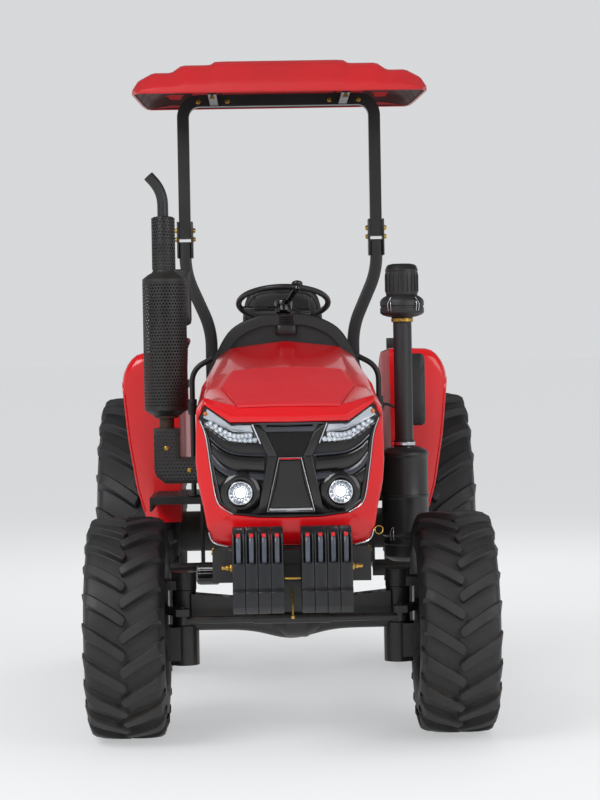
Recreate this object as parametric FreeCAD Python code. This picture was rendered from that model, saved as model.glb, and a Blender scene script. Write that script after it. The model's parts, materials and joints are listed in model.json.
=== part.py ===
"""Farm tractor with a folding roll bar, canopy, front weights and rear hitch, in millimetres.

X points to the tractor's left side, which is the right in a front view. Y points to the rear and Z up.
The origin is on the ground, under the middle of the whole machine.
"""
import FreeCAD, Part
import math
import os

os.makedirs("parts", exist_ok=True)
Vector = FreeCAD.Vector
ORIGIN = Vector(0, 0, 0)
AXES = {"x": Vector(1, 0, 0), "y": Vector(0, 1, 0), "z": Vector(0, 0, 1)}
HALF = 0.5

# Driving sizes
wheelbase = 2050.0
front_reach = 850.0
rear_reach = 900.0
front_track = 1310.0
rear_track = 1400.0
overall_length = front_reach + wheelbase + rear_reach
front_y = front_reach - overall_length * HALF
rear_y = front_y + wheelbase

# Fits and clearances
bearing_gap = 0.05
body_gap = 0.4
seat_gap = 0.3
wall = 4.0
plate = 8.0


def tyre_sizes(radius, width, rim_radius, lug_height, lug_count, lug_thickness, sectors):
    """Sizes of one kind of tyre and of the rim that it sits on."""
    return dict(radius=radius, width=width, rim_radius=rim_radius, lug_height=lug_height,
                lug_count=lug_count, lug_thickness=lug_thickness, sectors=sectors)


front_tyre = tyre_sizes(445.0, 318.0, 222.0, 27.0, 20, 34.0, 20)
rear_tyre = tyre_sizes(665.0, 390.0, 355.0, 36.0, 22, 44.0, 22)
front_wheel_x = front_track * HALF
kingpin_x = front_wheel_x - 225.0
rear_wheel_x = rear_track * HALF


def box(x0, x1, y0, y1, z0, z1):
    """A block between two corners, given in any order along each axis."""
    low = Vector(min(x0, x1), min(y0, y1), min(z0, z1))
    return Part.makeBox(abs(x1 - x0), abs(y1 - y0), abs(z1 - z0), low)


def rod(axis, radius, start, length):
    """A round bar that starts at a point and runs along a named axis."""
    return Part.makeCylinder(radius, length, Vector(*start), AXES[axis])


def ring(axis, outer, inner, start, length):
    """A round tube along a named axis."""
    return rod(axis, outer, start, length).cut(rod(axis, inner, start, length))


def bar_between(start, end, radius):
    """A round bar between two points."""
    path = Vector(*end) - Vector(*start)
    return Part.makeCylinder(radius, path.Length, Vector(*start), path)


def prism(plane, outline, start, end):
    """Extrude a closed outline. The plane 'yz' runs along X, 'xz' along Y and 'xy' along Z."""
    place = {"yz": lambda a, b: Vector(start, a, b),
             "xz": lambda a, b: Vector(a, start, b),
             "xy": lambda a, b: Vector(a, b, start)}[plane]
    run = {"yz": AXES["x"], "xz": AXES["y"], "xy": AXES["z"]}[plane]
    points = [place(a, b) for a, b in outline]
    face = Part.Face(Part.makePolygon(points + [points[0]]))
    return face.extrude(run * (end - start))


def loft(sections):
    """A closed solid ruled through outlines that have the same number of points."""
    wires = [Part.makePolygon([Vector(*p) for p in points] + [Vector(*points[0])]) for points in sections]
    return Part.makeLoft(wires, True, True)


def revolve(axis, outline, centre):
    """Turn an outline of (distance along the axis, radius) pairs round a named axis."""
    across = {"x": AXES["z"], "y": AXES["z"], "z": AXES["x"]}[axis]
    base = Vector(*centre)
    points = [base + AXES[axis] * a + across * r for a, r in outline]
    face = Part.Face(Part.makePolygon(points + [points[0]]))
    return face.revolve(base, AXES[axis], 360)


def fuse(shapes):
    """Join solids that touch into one, with no seams left between flat faces."""
    first, rest = shapes[0], list(shapes[1:])
    return first.multiFuse(rest).removeSplitter() if rest else first


def cut(shape, tools):
    """Take tools away from a shape."""
    return shape.cut(Part.makeCompound(list(tools)))


def mirrored(shape):
    """The same shape on the other side of the tractor."""
    return shape.mirror(ORIGIN, AXES["x"])


def pair(shape):
    """A shape and its copy on the other side."""
    return [shape, mirrored(shape)]


def turned(shape, axis, degrees, centre):
    """A copy turned about a named axis through a point."""
    copy = shape.copy()
    copy.rotate(Vector(*centre), AXES[axis], degrees)
    return copy


def save(name, shapes):
    """Write one node: its solids, which don't touch unless they are one."""
    solids = []
    for shape in shapes if isinstance(shapes, (list, tuple)) else [shapes]:
        solids.extend(shape.Solids)
    whole = solids[0] if len(solids) == 1 else Part.makeCompound(solids)
    whole.exportStep("parts/" + name + ".step")
    return whole


def bent_tube(points, radius, bend_radius):
    """A round bar along straight runs that are joined by arcs of one radius."""
    corners = [Vector(*p) for p in points]
    edges = []
    start = corners[0]
    for before, corner, after in zip(corners, corners[1:], corners[2:]):
        back = (before - corner).normalize()
        onward = (after - corner).normalize()
        half_turn = (math.pi - back.getAngle(onward)) * HALF
        setback = bend_radius * math.tan(half_turn)
        middle = (back + onward).normalize()
        depth = bend_radius / math.cos(half_turn) - bend_radius
        enter = corner + back * setback
        leave = corner + onward * setback
        edges.append(Part.LineSegment(start, enter).toShape())
        edges.append(Part.Arc(enter, corner + middle * depth, leave).toShape())
        start = leave
    edges.append(Part.LineSegment(start, corners[-1]).toShape())
    path = Part.Wire(edges)
    circle = Part.Wire(Part.makeCircle(radius, corners[0], corners[1] - corners[0]))
    return path.makePipeShell([circle], True, False)


# Tyres: a flat-faced carcass with chevron lugs
bead_share = 0.66
bead_rise = 0.10
# Columns: share of the half width, share of the height from rim to crown
shoulder_share = 0.92
carcass_shape = [(bead_share, 0.0), (bead_share, bead_rise), (1.0, 0.52), (shoulder_share, 1.0)]
# Columns: share of the half width, turn back from the centre in lug pitches, share of the shoulder's drop
lug_line = [(0.02, 0.0, 0.0), (shoulder_share, 0.7, 1.0)]
shoulder_drop = 12.0
lug_root = 0.78


def polar(x, radius, angle):
    """A point of a wheel about the X axis: angle 0 is at the front, and grows towards the ground."""
    return Vector(x, -radius * math.cos(angle), -radius * math.sin(angle))


def facet_solid(faces):
    """A closed solid from flat faces, each given as a list of points."""
    made = [Part.Face(Part.makePolygon(points + [points[0]])) for points in faces]
    return Part.Solid(Part.makeShell(made))


def carcass(tyre):
    """The tyre without lugs, as flat quads between evenly turned copies of its half section."""
    crown = tyre["radius"] - tyre["lug_height"]
    seat = (tyre["rim_radius"] + seat_gap) / math.cos(math.pi / tyre["sectors"])
    half = tyre["width"] * HALF
    side = [(half * share, seat + (crown - seat) * rise) for share, rise in carcass_shape]
    section = side + [(-x, r) for x, r in reversed(side)]
    step = 2 * math.pi / tyre["sectors"]
    rings = []
    for count in range(tyre["sectors"]):
        rings.append([polar(x, r, count * step) for x, r in section])
    faces = []
    for count, this in enumerate(rings):
        following = rings[(count + 1) % len(rings)]
        for row, _ in enumerate(section):
            after = (row + 1) % len(section)
            faces.append([this[row], this[after], following[after], following[row]])
    return facet_solid(faces)


def lug(tyre, side, start):
    """One bar of the tread from the middle to the shoulder, with its root sunk in the carcass."""
    half = tyre["width"] * HALF
    pitch = 2 * math.pi / tyre["lug_count"]
    stations = []
    for share, turn, drop in lug_line:
        top = tyre["radius"] - shoulder_drop * drop
        root = tyre["rim_radius"] + (top - tyre["rim_radius"]) * lug_root
        angle = start - pitch * turn
        spread = tyre["lug_thickness"] * HALF / tyre["radius"]
        x = side * half * share
        stations.append([polar(x, root, angle - spread), polar(x, root, angle + spread),
                         polar(x, top, angle + spread), polar(x, top, angle - spread)])
    faces = [stations[0], list(reversed(stations[-1]))]
    for this, following in zip(stations, stations[1:]):
        for row in range(4):
            after = (row + 1) % 4
            faces.append([this[row], this[after], following[after]])
            faces.append([this[row], following[after], following[row]])
    return facet_solid(faces)


def tyre_solid(tyre):
    """Carcass and lugs in one, about the X axis at the origin, with one lug's edge straight below."""
    pitch = 2 * math.pi / tyre["lug_count"]
    spread = tyre["lug_thickness"] * HALF / tyre["radius"]
    lugs = []
    for count in range(tyre["lug_count"]):
        bottom = math.pi * HALF - spread + count * pitch
        lugs.append(lug(tyre, 1, bottom))
        lugs.append(lug(tyre, -1, bottom + pitch * HALF))
    body = carcass(tyre)
    fused = body.multiFuse(lugs)
    return fused


def place_wheel(shape, x, y, radius):
    """Move a wheel piece from the origin to its hub."""
    copy = shape.copy()
    copy.translate(Vector(x, y, radius))
    return copy


front_tyre_left = place_wheel(tyre_solid(front_tyre), front_wheel_x, front_y, front_tyre["radius"])
rear_tyre_left = place_wheel(tyre_solid(rear_tyre), rear_wheel_x, rear_y, rear_tyre["radius"])
save("front_tyre_left", front_tyre_left)
save("front_tyre_right", mirrored(front_tyre_left))
save("rear_tyre_left", rear_tyre_left)
save("rear_tyre_right", mirrored(rear_tyre_left))

# Rims: a barrel under the tyre, and a dished disc bolted to a hub
rim_wall = 7.0
flange_rise = 16.0
disc_wall = 9.0
stud_radius = 9.0
hand_hole_radius = 24.0
# Columns: name, tyre, hub x, hub y, disc offset from the wheel's middle, hub radius, spindle radius, studs
wheel_rows = [
    ("front", front_tyre, front_wheel_x, front_y, 40.0, 78.0, 38.0, 6),
    ("rear", rear_tyre, rear_wheel_x, rear_y, 30.0, 105.0, 55.0, 8),
]


def rim_solid(tyre, disc_offset, hub_radius, spindle_radius, studs):
    """Barrel, flanges, dished disc, hub cap and wheel nuts about the X axis, facing +X."""
    outer = tyre["rim_radius"]
    half = tyre["width"] * HALF * bead_share
    lip = half + rim_wall
    inner = outer - rim_wall
    barrel = revolve("x", [(-lip, inner), (lip, inner), (lip, outer + flange_rise),
                           (half + seat_gap, outer + flange_rise),
                           (half + seat_gap, outer), (-half - seat_gap, outer),
                           (-half - seat_gap, outer + flange_rise),
                           (-lip, outer + flange_rise)], (0, 0, 0))
    dish = disc_offset + 26.0
    disc = revolve("x", [(disc_offset, spindle_radius + bearing_gap),
                         (disc_offset + disc_wall, spindle_radius + bearing_gap),
                         (disc_offset + disc_wall, hub_radius + 14.0), (dish + disc_wall, inner * 0.72),
                         (dish - 14.0, inner + 1.0), (dish - 14.0 - disc_wall, inner + 1.0),
                         (dish, inner * 0.72), (disc_offset, hub_radius + 14.0)], (0, 0, 0))
    holes = []
    hole_circle = inner * 0.82
    for count in range(int(studs)):
        angle = 2 * math.pi * (count + HALF) / studs
        centre = polar(0, hole_circle, angle)
        holes.append(rod("x", hand_hole_radius, (disc_offset - 40.0, centre.y, centre.z), 100.0))
    disc = cut(disc, holes)
    hub = ring("x", hub_radius - 22.0, spindle_radius + bearing_gap, (disc_offset - 30.0, 0, 0), 32.0)
    cap = revolve("x", [(disc_offset + disc_wall - 1.0, 0),
                        (disc_offset + disc_wall - 1.0, hub_radius - 20.0),
                        (disc_offset + 40.0, hub_radius - 30.0), (disc_offset + 46.0, 0)], (0, 0, 0))
    nuts = []
    for count in range(int(studs)):
        centre = polar(0, hub_radius - 6.0, 2 * math.pi * count / studs)
        nuts.append(rod("x", stud_radius, (disc_offset, centre.y, centre.z), 24.0))
    return fuse([barrel, disc, hub, cap] + nuts)


spindle_ends = {}
for name, tyre, x, y, disc_offset, hub_radius, spindle_radius, studs in wheel_rows:
    rim = place_wheel(rim_solid(tyre, disc_offset, hub_radius, spindle_radius, studs), x, y, tyre["radius"])
    save(name + "_rim_left", rim)
    save(name + "_rim_right", mirrored(rim))
    spindle_ends[name] = (x + disc_offset + disc_wall - 1.0 - body_gap, spindle_radius)

# Front axle: beam, differential bulge and a sleeve for each kingpin
axle_z = front_tyre["radius"]
beam_low, beam_high = 445.0, 555.0
beam_depth = 48.0
beam_end = kingpin_x - 30.0
sleeve_radius = 48.0
sleeve_low, sleeve_high = 452.0, 592.0
kingpin_radius = 22.0
bulge_x, bulge_radius, bulge_width = 20.0, 102.0, 190.0
pivot_radius = 34.0
bolster_low = 578.0

beam_outline = [(-beam_end, sleeve_low + 14), (-170, beam_low), (170, beam_low),
                (beam_end, sleeve_low + 14),
                (beam_end, sleeve_high - 14), (170, beam_high), (-170, beam_high),
                (-beam_end, sleeve_high - 14)]
beam = prism("xz", beam_outline, front_y - beam_depth, front_y + beam_depth)
bulge = revolve("x", [(-bulge_width * HALF, 0), (-bulge_width * HALF, bulge_radius * 0.7),
                      (-40, bulge_radius),
                      (40, bulge_radius), (bulge_width * HALF, bulge_radius * 0.7),
                      (bulge_width * HALF, 0)],
                (bulge_x, front_y, axle_z + 50))
pivot_block = box(-60, 60, front_y - 150, front_y + 150, beam_high - 30, beam_high + 12)
sleeves = pair(rod("z", sleeve_radius, (kingpin_x, front_y, sleeve_low), sleeve_high - sleeve_low))
kingpin_bores = pair(rod("z", kingpin_radius + bearing_gap, (kingpin_x, front_y, sleeve_low - 1),
                         sleeve_high - sleeve_low + 2))
pivot_pin = rod("y", pivot_radius, (0, front_y - 190, beam_high + 6), 380)
save("front_axle", cut(fuse([beam, bulge, pivot_block, pivot_pin] + sleeves), kingpin_bores))

# Knuckles: kingpin stubs, upper lug, final drive housing, spindle and steering arm
arm_length = 170.0
arm_low, arm_high = 505.0, 533.0
tie_pin_radius = 10.0
housing_low = 292.0
knuckle_wall_x = kingpin_x + 62.0
stub_length = 48.0


def knuckle_solid():
    """The left knuckle, with its steering arm pointing forwards."""
    lower = rod("z", 58.0, (kingpin_x, front_y, housing_low), sleeve_low - 2 - housing_low)
    upper = rod("z", 50.0, (kingpin_x, front_y, sleeve_high + 2), 70)
    bridge = box(knuckle_wall_x, knuckle_wall_x + 28, front_y - 60, front_y + 60, housing_low + 40,
                 sleeve_high + 40)
    top_arm = box(kingpin_x, knuckle_wall_x + 28, front_y - 40, front_y + 40, sleeve_high + 2,
                  sleeve_high + 40)
    low_arm = box(kingpin_x, knuckle_wall_x + 28, front_y - 56, front_y + 56, housing_low + 20,
                  sleeve_low - 6)
    drive = rod("x", 118.0, (knuckle_wall_x + 4, front_y, axle_z), 60)
    nose = Part.makeCone(100.0, 62.0, 70, Vector(knuckle_wall_x + 64, front_y, axle_z), AXES["x"])
    end, radius = spindle_ends["front"]
    spindle = rod("x", radius, (knuckle_wall_x + 100, front_y, axle_z), end - knuckle_wall_x - 100)
    pins = [rod("z", kingpin_radius, (kingpin_x, front_y, sleeve_low - 4), stub_length),
            rod("z", kingpin_radius, (kingpin_x, front_y, sleeve_high + 4 - stub_length), stub_length)]
    arm_outline = [(kingpin_x - 26, front_y - arm_length - 26), (kingpin_x + 26, front_y - arm_length - 26),
                   (knuckle_wall_x + 24, front_y - 70), (knuckle_wall_x + 24, front_y - 10),
                   (knuckle_wall_x + 4, front_y - 10), (knuckle_wall_x - 4, front_y - 60),
                   (kingpin_x - 26, front_y - arm_length + 30)]
    arm = prism("xy", arm_outline, arm_low, arm_high)
    arm = arm.cut(rod("z", tie_pin_radius + bearing_gap, (kingpin_x, front_y - arm_length, arm_low - 1),
                      40))
    return fuse([lower, upper, bridge, top_arm, low_arm, drive, nose, spindle] + pins + [arm])


knuckle = knuckle_solid()
save("knuckle_left", knuckle)
save("knuckle_right", mirrored(knuckle))

# Tie rod between the steering arms
tie_y = front_y - arm_length
tie_z = arm_low - 16.0
tie_bar = rod("x", 15.0, (-kingpin_x, tie_y, tie_z), 2 * kingpin_x)
tie_barrel = rod("x", 20.0, (-150, tie_y, tie_z), 300)
tie_ends = pair(rod("z", 20.0, (kingpin_x, tie_y, tie_z - 18), arm_low - 1 - tie_z + 18))
tie_pins = pair(rod("z", tie_pin_radius, (kingpin_x, tie_y, tie_z), arm_high + 8 - tie_z))
save("tie_rod", fuse([tie_bar, tie_barrel] + tie_ends + tie_pins))

# Front frame: two rails on a bolster that carries the axle pivot
rail_in, rail_out = 105.0, 135.0
rail_low, rail_high = 640.0, 800.0
frame_front = front_y - 540.0
frame_back = front_y + 330.0
rails = pair(box(rail_in, rail_out, frame_front, frame_back, rail_low, rail_high))
bearing_low = beam_high + 6 - pivot_radius - 10
bearings = []
for start in (front_y - 190, front_y + 155):
    block = box(-rail_in - 5, rail_in + 5, start, start + 35, bearing_low, rail_low + 60)
    bearings.append(block.cut(rod("y", pivot_radius + bearing_gap, (0, start - 1, beam_high + 6), 37)))
nose_plate = box(-300, 300, frame_front - plate, frame_front, 672, rail_high)
top_plate = box(-rail_out, rail_out, frame_front, front_y + 40, rail_high - 2, rail_high + 6)
save("front_frame", fuse(rails + bearings + [nose_plate, top_plate]))

# Front weights hung on a carrier bar
weight_front = front_y - front_reach
weight_thick = 46.0
weight_pitch = 47.2
weight_inner_x = 33.0
weights_a_side = 4
weight_low, weight_step, weight_high = 584.0, 664.0, 889.0
weight_back = weight_front + 270.0
bar_low, bar_high = 752.0, 800.0
bar_depth = 52.0
bar_front = weight_back - 46.0
weight_outline = [(weight_front + 30, weight_low), (weight_back - 60, weight_low),
                  (weight_back, weight_low + 50),
                  (weight_back, bar_low - seat_gap), (bar_front - seat_gap, bar_low - seat_gap),
                  (bar_front - seat_gap, bar_high + seat_gap), (weight_back, bar_high + seat_gap),
                  (weight_back, weight_high - 22), (weight_back - 30, weight_high),
                  (weight_front + 60, weight_high),
                  (weight_front + 22, weight_high - 40), (weight_front + 22, weight_step + 12),
                  (weight_front, weight_step),
                  (weight_front, weight_low + 26)]
slot_outline = [(weight_front + 50, weight_high - 120), (weight_front + 100, weight_high - 120),
                (weight_front + 118, weight_high - 45), (weight_front + 70, weight_high - 45)]
weights = []
for count in range(weights_a_side):
    start = weight_inner_x + count * weight_pitch
    plain = prism("yz", weight_outline, start, start + weight_thick)
    slot = prism("yz", slot_outline, start - 1, start + weight_thick + 1)
    weights.extend(pair(plain.cut(slot)))
save("front_weights", weights)
carrier_half = 238.0
carrier_bar = box(-carrier_half, carrier_half, bar_front, bar_front + bar_depth, bar_low, bar_high)
carrier_arms = pair(box(60, 84, bar_front + bar_depth - 1, frame_front - plate, bar_low - 60,
                        bar_high))
save("weight_carrier", fuse([carrier_bar] + carrier_arms))

# Engine: plain block with its sump, head, pulley, fan belt cover and manifold
engine_front = front_y + 120.0
engine_back = front_y + 760.0
engine_low, engine_mid, engine_high = 470.0, 720.0, 1180.0
engine_half = 165.0
block = box(-engine_half, engine_half, engine_front, engine_back, engine_mid, 1040)
sump = prism("xz", [(-105, engine_low), (50, engine_low), (50, 510), (130, 560), (130, engine_mid + 1),
                    (-130, engine_mid + 1), (-130, 560)],
             engine_front + 90, engine_back)
head = box(-120, 120, engine_front + 30, engine_back - 40, 1039, engine_high)
pulley = rod("y", 90.0, (0, engine_front - 50, 830), 52)
manifold = box(-engine_half - 55, -engine_half + 1, engine_front + 120, engine_back - 120, 1000, 1090)
engine = fuse([block, sump, head, pulley, manifold])
rail_room = pair(box(rail_in - seat_gap, rail_out + seat_gap, frame_front, frame_back + seat_gap,
                     rail_low - seat_gap, rail_high + seat_gap))
save("engine", cut(engine, rail_room))

# Radiator with its shroud, behind the grille
radiator_y = front_y - 330.0
radiator_low = rail_high + 6.0
radiator_high, fan_z = 1290.0, 1050.0
core = box(-220, 220, radiator_y, radiator_y + 70, radiator_low, radiator_high)
shroud_low, shroud_high = radiator_low + 48.0, radiator_high - 40.0
shroud = prism("xz", [(-200, shroud_low), (200, shroud_low), (200, shroud_high), (-200, shroud_high)],
               radiator_y + 69, radiator_y + 130)
shroud = shroud.cut(rod("y", 170.0, (0, radiator_y + 68, fan_z), 80))
hub = rod("y", 40.0, (0, radiator_y + 60, fan_z), 90)
save("radiator", fuse([core, shroud, hub]))

# Gearbox from the engine back to the rear axle, with the front drive cover below
case_half, case_low, case_top = 190.0, 470.0, 862.0
sections = []
# Columns: distance behind the engine, half width, bottom, top
for y, half, low, high in [(0, 190, 500, 1010), (60, 190, 500, 1010), (110, 150, 520, case_top),
                           (700, 150, 500, case_top), (760, 190, 455, case_top)]:
    sections.append([(-half, engine_back + y, low + 40), (-half + 40, engine_back + y, low),
                     (half - 40, engine_back + y, low),
                     (half, engine_back + y, low + 40), (half, engine_back + y, high - 40),
                     (half - 40, engine_back + y, high),
                     (-half + 40, engine_back + y, high), (-half, engine_back + y, high - 40)])
case_back = rear_y + 210.0
rear_case = box(-case_half, case_half, engine_back + 758, case_back, case_low, case_top)
drive_x = bulge_x + 60.0
drive_outlet = box(drive_x - 35, drive_x + 35, engine_back + 60, engine_back + 170, 440, 535)

# Front drive cover: a tube from the gearbox to the front axle, beside the sump
drive_cover = bar_between((drive_x, front_y + 60, 472), (drive_x, engine_back + 60 - seat_gap, 472), 21.0)
save("front_drive_cover", drive_cover.cut(fuse([beam, bulge, pivot_block])))

# Rear axle housings with their flanges and spindles
rear_z = rear_tyre["radius"]
rear_end, rear_spindle = spindle_ends["rear"]
trumpet_radius = 98.0
trumpet = revolve("x", [(case_half + seat_gap, 0), (case_half + seat_gap, 150), (225, 150),
                        (250, trumpet_radius), (480, trumpet_radius), (560, trumpet_radius), (560, 150),
                        (590, 150), (590, 0)],
                  (0, rear_y, rear_z))
spindle = rod("x", rear_spindle, (580, rear_y, rear_z), rear_end - 580)
save("rear_axle", pair(fuse([trumpet, spindle])))

# Bonnet: a ruled shell from the nose to the cowl, open below and behind
bonnet_front = front_y - 520.0
bonnet_back = front_y + 860.0
# Columns: distance behind the front axle, then half width and height of the lower edge, waist, side top,
# shoulder and roof edge, and the height of the crown
bonnet_rows = [
    (-520, 318, 965, 356, 1110, 352, 1322, 319, 1358, 223, 1308, 1306),
    (-470, 322, 962, 360, 1110, 354, 1330, 324, 1372, 202, 1336, 1340),
    (-150, 332, 1015, 366, 1130, 352, 1360, 326, 1396, 272, 1402, 1414),
    (150, 335, 1060, 366, 1140, 349, 1404, 320, 1442, 224, 1464, 1476),
    (860, 340, 1110, 362, 1165, 338, 1440, 300, 1520, 236, 1562, 1590),
]


def bonnet_sections(inset, start_shift, end_shift, drop):
    """Outlines of the bonnet, moved in by a wall, for the ruled body."""
    outlines = []
    for count, (distance, *pairs, crown) in enumerate(bonnet_rows):
        place = front_y + distance
        place += start_shift if count == 0 else 0.0
        place += end_shift if count == len(bonnet_rows) - 1 else 0.0
        widths, heights = pairs[0::2], pairs[1::2]
        drops = (drop, 0.0, inset * HALF, inset, inset)
        insets = (inset, inset, inset, inset, inset * HALF)
        half = [(w - side, z - fall) for w, z, side, fall in zip(widths, heights, insets, drops)]
        outline = [(x, place, z) for x, z in half] + [(0, place, crown - inset)]
        outlines.append(outline + [(-x, place, z) for x, z in reversed(half)])
    return outlines


def both_sides(half_outline):
    """A closed outline from its right half, first and last points on the middle line."""
    return half_outline + [(-x, z) for x, z in reversed(half_outline[1:-1])]


def inset_outline(points, gap):
    """A closed outline moved in by a gap; each corner goes to where its moved edges meet."""
    moved = []
    turn = sum((b[0] - a[0]) * (b[1] + a[1]) for a, b in zip(points, points[1:] + points[:1]))
    sign = 1.0 if turn > 0 else -1.0
    for before, here, after in zip(points[-1:] + points[:-1], points, points[1:] + points[:1]):
        first = math.atan2(here[1] - before[1], here[0] - before[0])
        second = math.atan2(after[1] - here[1], after[0] - here[0])
        middle = (math.sin(first) + math.sin(second), -math.cos(first) - math.cos(second))
        size = (middle[0] ** 2 + middle[1] ** 2) / 2.0
        moved.append((here[0] + sign * gap * middle[0] / size, here[1] + sign * gap * middle[1] / size))
    return moved


# Nose mask below and round the grille. Columns: half width, height
mask_outline = both_sides([(0, 812), (240, 812), (296, 828), (318, 880), (330, 954), (350, 1050),
                           (356, 1130),
                           (352, 1322), (319, 1358), (223, 1308), (0, 1306)])
grille_outline = both_sides([(0, 914), (120, 916), (217, 929), (276, 975), (300, 1100), (317, 1223),
                             (342, 1298),
                             (318, 1344), (224, 1277), (0, 1275)])
mask_front, mask_back = bonnet_front - 24.0, bonnet_front + 90.0
mask_lip = 12.0
crease_z, chin_set_back = 885.0, 14.0
bonnet_body = loft(bonnet_sections(0.0, 0.0, 0.0, 0.0))
bonnet_core = loft(bonnet_sections(wall, 6.0, 1.0, 1.0))
mask = prism("xz", mask_outline, mask_front, mask_back)
mask_core = prism("xz", inset_outline(mask_outline, wall), mask_front + mask_lip, mask_back + 1)
grille_hole = prism("xz", grille_outline, mask_front - 6, bonnet_front + 10)
chin_slope = prism("yz", [(mask_front - 1, crease_z), (mask_front, crease_z),
                          (mask_front + chin_set_back, 811),
                          (mask_front + chin_set_back, 800), (mask_front - 1, 800)], -400, 400)
shell = bonnet_body.cut(bonnet_core).cut(grille_hole)
mask_shell = cut(mask, [mask_core, grille_hole, chin_slope])
hinge_y, hinge_pin_z, hinge_pin_r = bonnet_back + 4.0, 1560.0, 6.0
lug_outline = [(bonnet_back - 38, 1583), (bonnet_back - 6, 1584), (hinge_y + 9, hinge_pin_z + 6),
               (hinge_y + 9, hinge_pin_z - 9),
               (hinge_y - 9, hinge_pin_z - 9), (bonnet_back - 38, 1572)]
lugs = []
for side in (-1, 1):
    start = min(side * 44.0, side * 54.0)
    lugs.append(prism("yz", lug_outline, start, start + 10.0))
    lugs.append(rod("x", hinge_pin_r, (min(side * 44.0, side * 74.0), hinge_y, hinge_pin_z), 30.0))
save("bonnet", shell.fuse([mask_shell] + lugs))

# Grille: a black panel set in the nose, with a mesh window, crossed bands, curved bars and lamp pods
grille_front = bonnet_front - 16.0
panel_depth = 20.0
panel = prism("xz", inset_outline(grille_outline, seat_gap), grille_front, grille_front + panel_depth)
mesh_top, mesh_bottom, mesh_top_half, mesh_bottom_half = 1236.0, 1148.0, 88.0, 44.0
mesh_window = prism("xz", [(-mesh_bottom_half, mesh_bottom), (mesh_bottom_half, mesh_bottom),
                           (mesh_top_half, mesh_top), (-mesh_top_half, mesh_top)], grille_front - 1,
                           grille_front + 12)
slot_half, slot_z, slot_height = 88.0, 1260.0, 6.0
slot = box(-slot_half, slot_half, grille_front - 1, grille_front + 12, slot_z, slot_z + slot_height)
mesh_pitch, mesh_bar = 16.0, 4.0
mesh_rows = int((mesh_top - mesh_bottom) / mesh_pitch)
mesh_bars = [box(-mesh_top_half, mesh_top_half, grille_front + 4, grille_front + 13,
                 mesh_bottom + count * mesh_pitch, mesh_bottom + count * mesh_pitch + mesh_bar)
             for count in range(1, mesh_rows + 1)]
# Bands that cross under the mesh. Columns: half width and height of the four corners
band_corners = [(139, 1271), (92, 1238), (48, 1146), (84, 1146)]
lower_band_corners = [(48, 1146), (84, 1146), (126, 930), (94, 930)]
# Curved side bars. Columns: half width, height of the top edge
bar_lines = [[(296, 1186), (230, 1158), (96, 1152)], [(292, 1126), (240, 1100), (98, 1084)]]
bar_height = 22.0
band_rise, bar_rise = 9.0, 9.0
raised = []
for side in (-1, 1):
    for corners in (band_corners, lower_band_corners):
        raised.append(prism("xz", [(side * x, z) for x, z in corners], grille_front - band_rise,
                            grille_front + 1))
    for line in bar_lines:
        edge = [(side * x, z) for x, z in line] + [(side * x, z - bar_height) for x, z in reversed(line)]
        raised.append(prism("xz", edge, grille_front - bar_rise, grille_front + 1))
# Round pods that carry the work lamps
pod_x, pod_z, pod_radius, pod_rise, work_lamp_radius = 190.0, 1010.0, 58.0, 8.0, 46.0
raised += [ring("y", pod_radius, work_lamp_radius + body_gap,
                (side * pod_x, grille_front - pod_rise, pod_z), pod_rise + 1)
           for side in (-1, 1)]
save("grille", fuse([cut(panel, [slot, mesh_window])] + raised + mesh_bars))
trim_top, trim_bottom, trim_top_half, trim_bottom_half, trim_bar = 1142.0, 938.0, 42.0, 90.0, 7.0
trim_outline = [(-trim_top_half, trim_top), (trim_top_half, trim_top), (trim_bottom_half, trim_bottom),
                (-trim_bottom_half, trim_bottom)]
trim_back = prism("xz", trim_outline, grille_front - 10, grille_front - seat_gap)
trim_back = trim_back.cut(prism("xz", inset_outline(trim_outline, trim_bar), grille_front - 11,
                                grille_front - 3))
trim_ring = prism("xz", trim_outline, grille_front - 17, grille_front - 9)
trim_ring = trim_ring.cut(prism("xz", inset_outline(trim_outline, trim_bar), grille_front - 18,
                                grille_front - 8))
save("grille_trim", cut(fuse([trim_back, trim_ring]), raised))
# Headlamps swept up at their outer ends. Columns: half width, height
lamp_outline = [(108, 1192), (140, 1271), (222, 1272), (314, 1337), (337, 1296), (328, 1276), (232, 1202)]
lamp_rise = 14.0
lamp_clear = prism("xz", grille_outline, grille_front - lamp_rise, grille_front - seat_gap)
lamp = prism("xz", inset_outline(lamp_outline, seat_gap), grille_front - lamp_rise, grille_front - seat_gap)
save("headlamps", [cut(solid, raised) for solid in pair(lamp.common(lamp_clear))])
work_lamp = revolve("y", [(grille_front - 26, 0), (grille_front - 26, work_lamp_radius - 10),
                          (grille_front - 20, work_lamp_radius - 3), (grille_front - 12, work_lamp_radius),
                          (grille_front - seat_gap, work_lamp_radius), (grille_front - seat_gap, 0)],
                          (pod_x, 0, pod_z))
save("fog_lamps", pair(work_lamp))

# Cowl behind the bonnet, a shell over the instruments
cowl_front = bonnet_back + 12.0
cowl_back = front_y + 1130.0
deck_z = 905.0
cowl_outline = [(0, 1100), (330, 1100), (340, 1430), (300, 1530), (230, 1640), (110, 1698), (0, 1700)]
cowl_inner = [(0, 1099), (322, 1099), (332, 1428), (294, 1526), (226, 1633), (108, 1690), (0, 1692)]
cowl = prism("xz", both_sides(cowl_outline), cowl_front, cowl_back)
cowl = cowl.cut(prism("xz", both_sides(cowl_inner), cowl_front - 1, cowl_back - wall))
floor_z = deck_z + 5.0 + seat_gap
foot_shell = prism("xz", [(-200, floor_z), (200, floor_z), (326, 1101), (-326, 1101)], cowl_front,
                   cowl_back - 60)
foot_shell = foot_shell.cut(prism("xz", [(-194, floor_z - 1), (194, floor_z - 1), (320, 1102),
                                         (-320, 1102)], cowl_front - 1, cowl_back - 66))
bulkhead_y = cowl_front + 20.0
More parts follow.
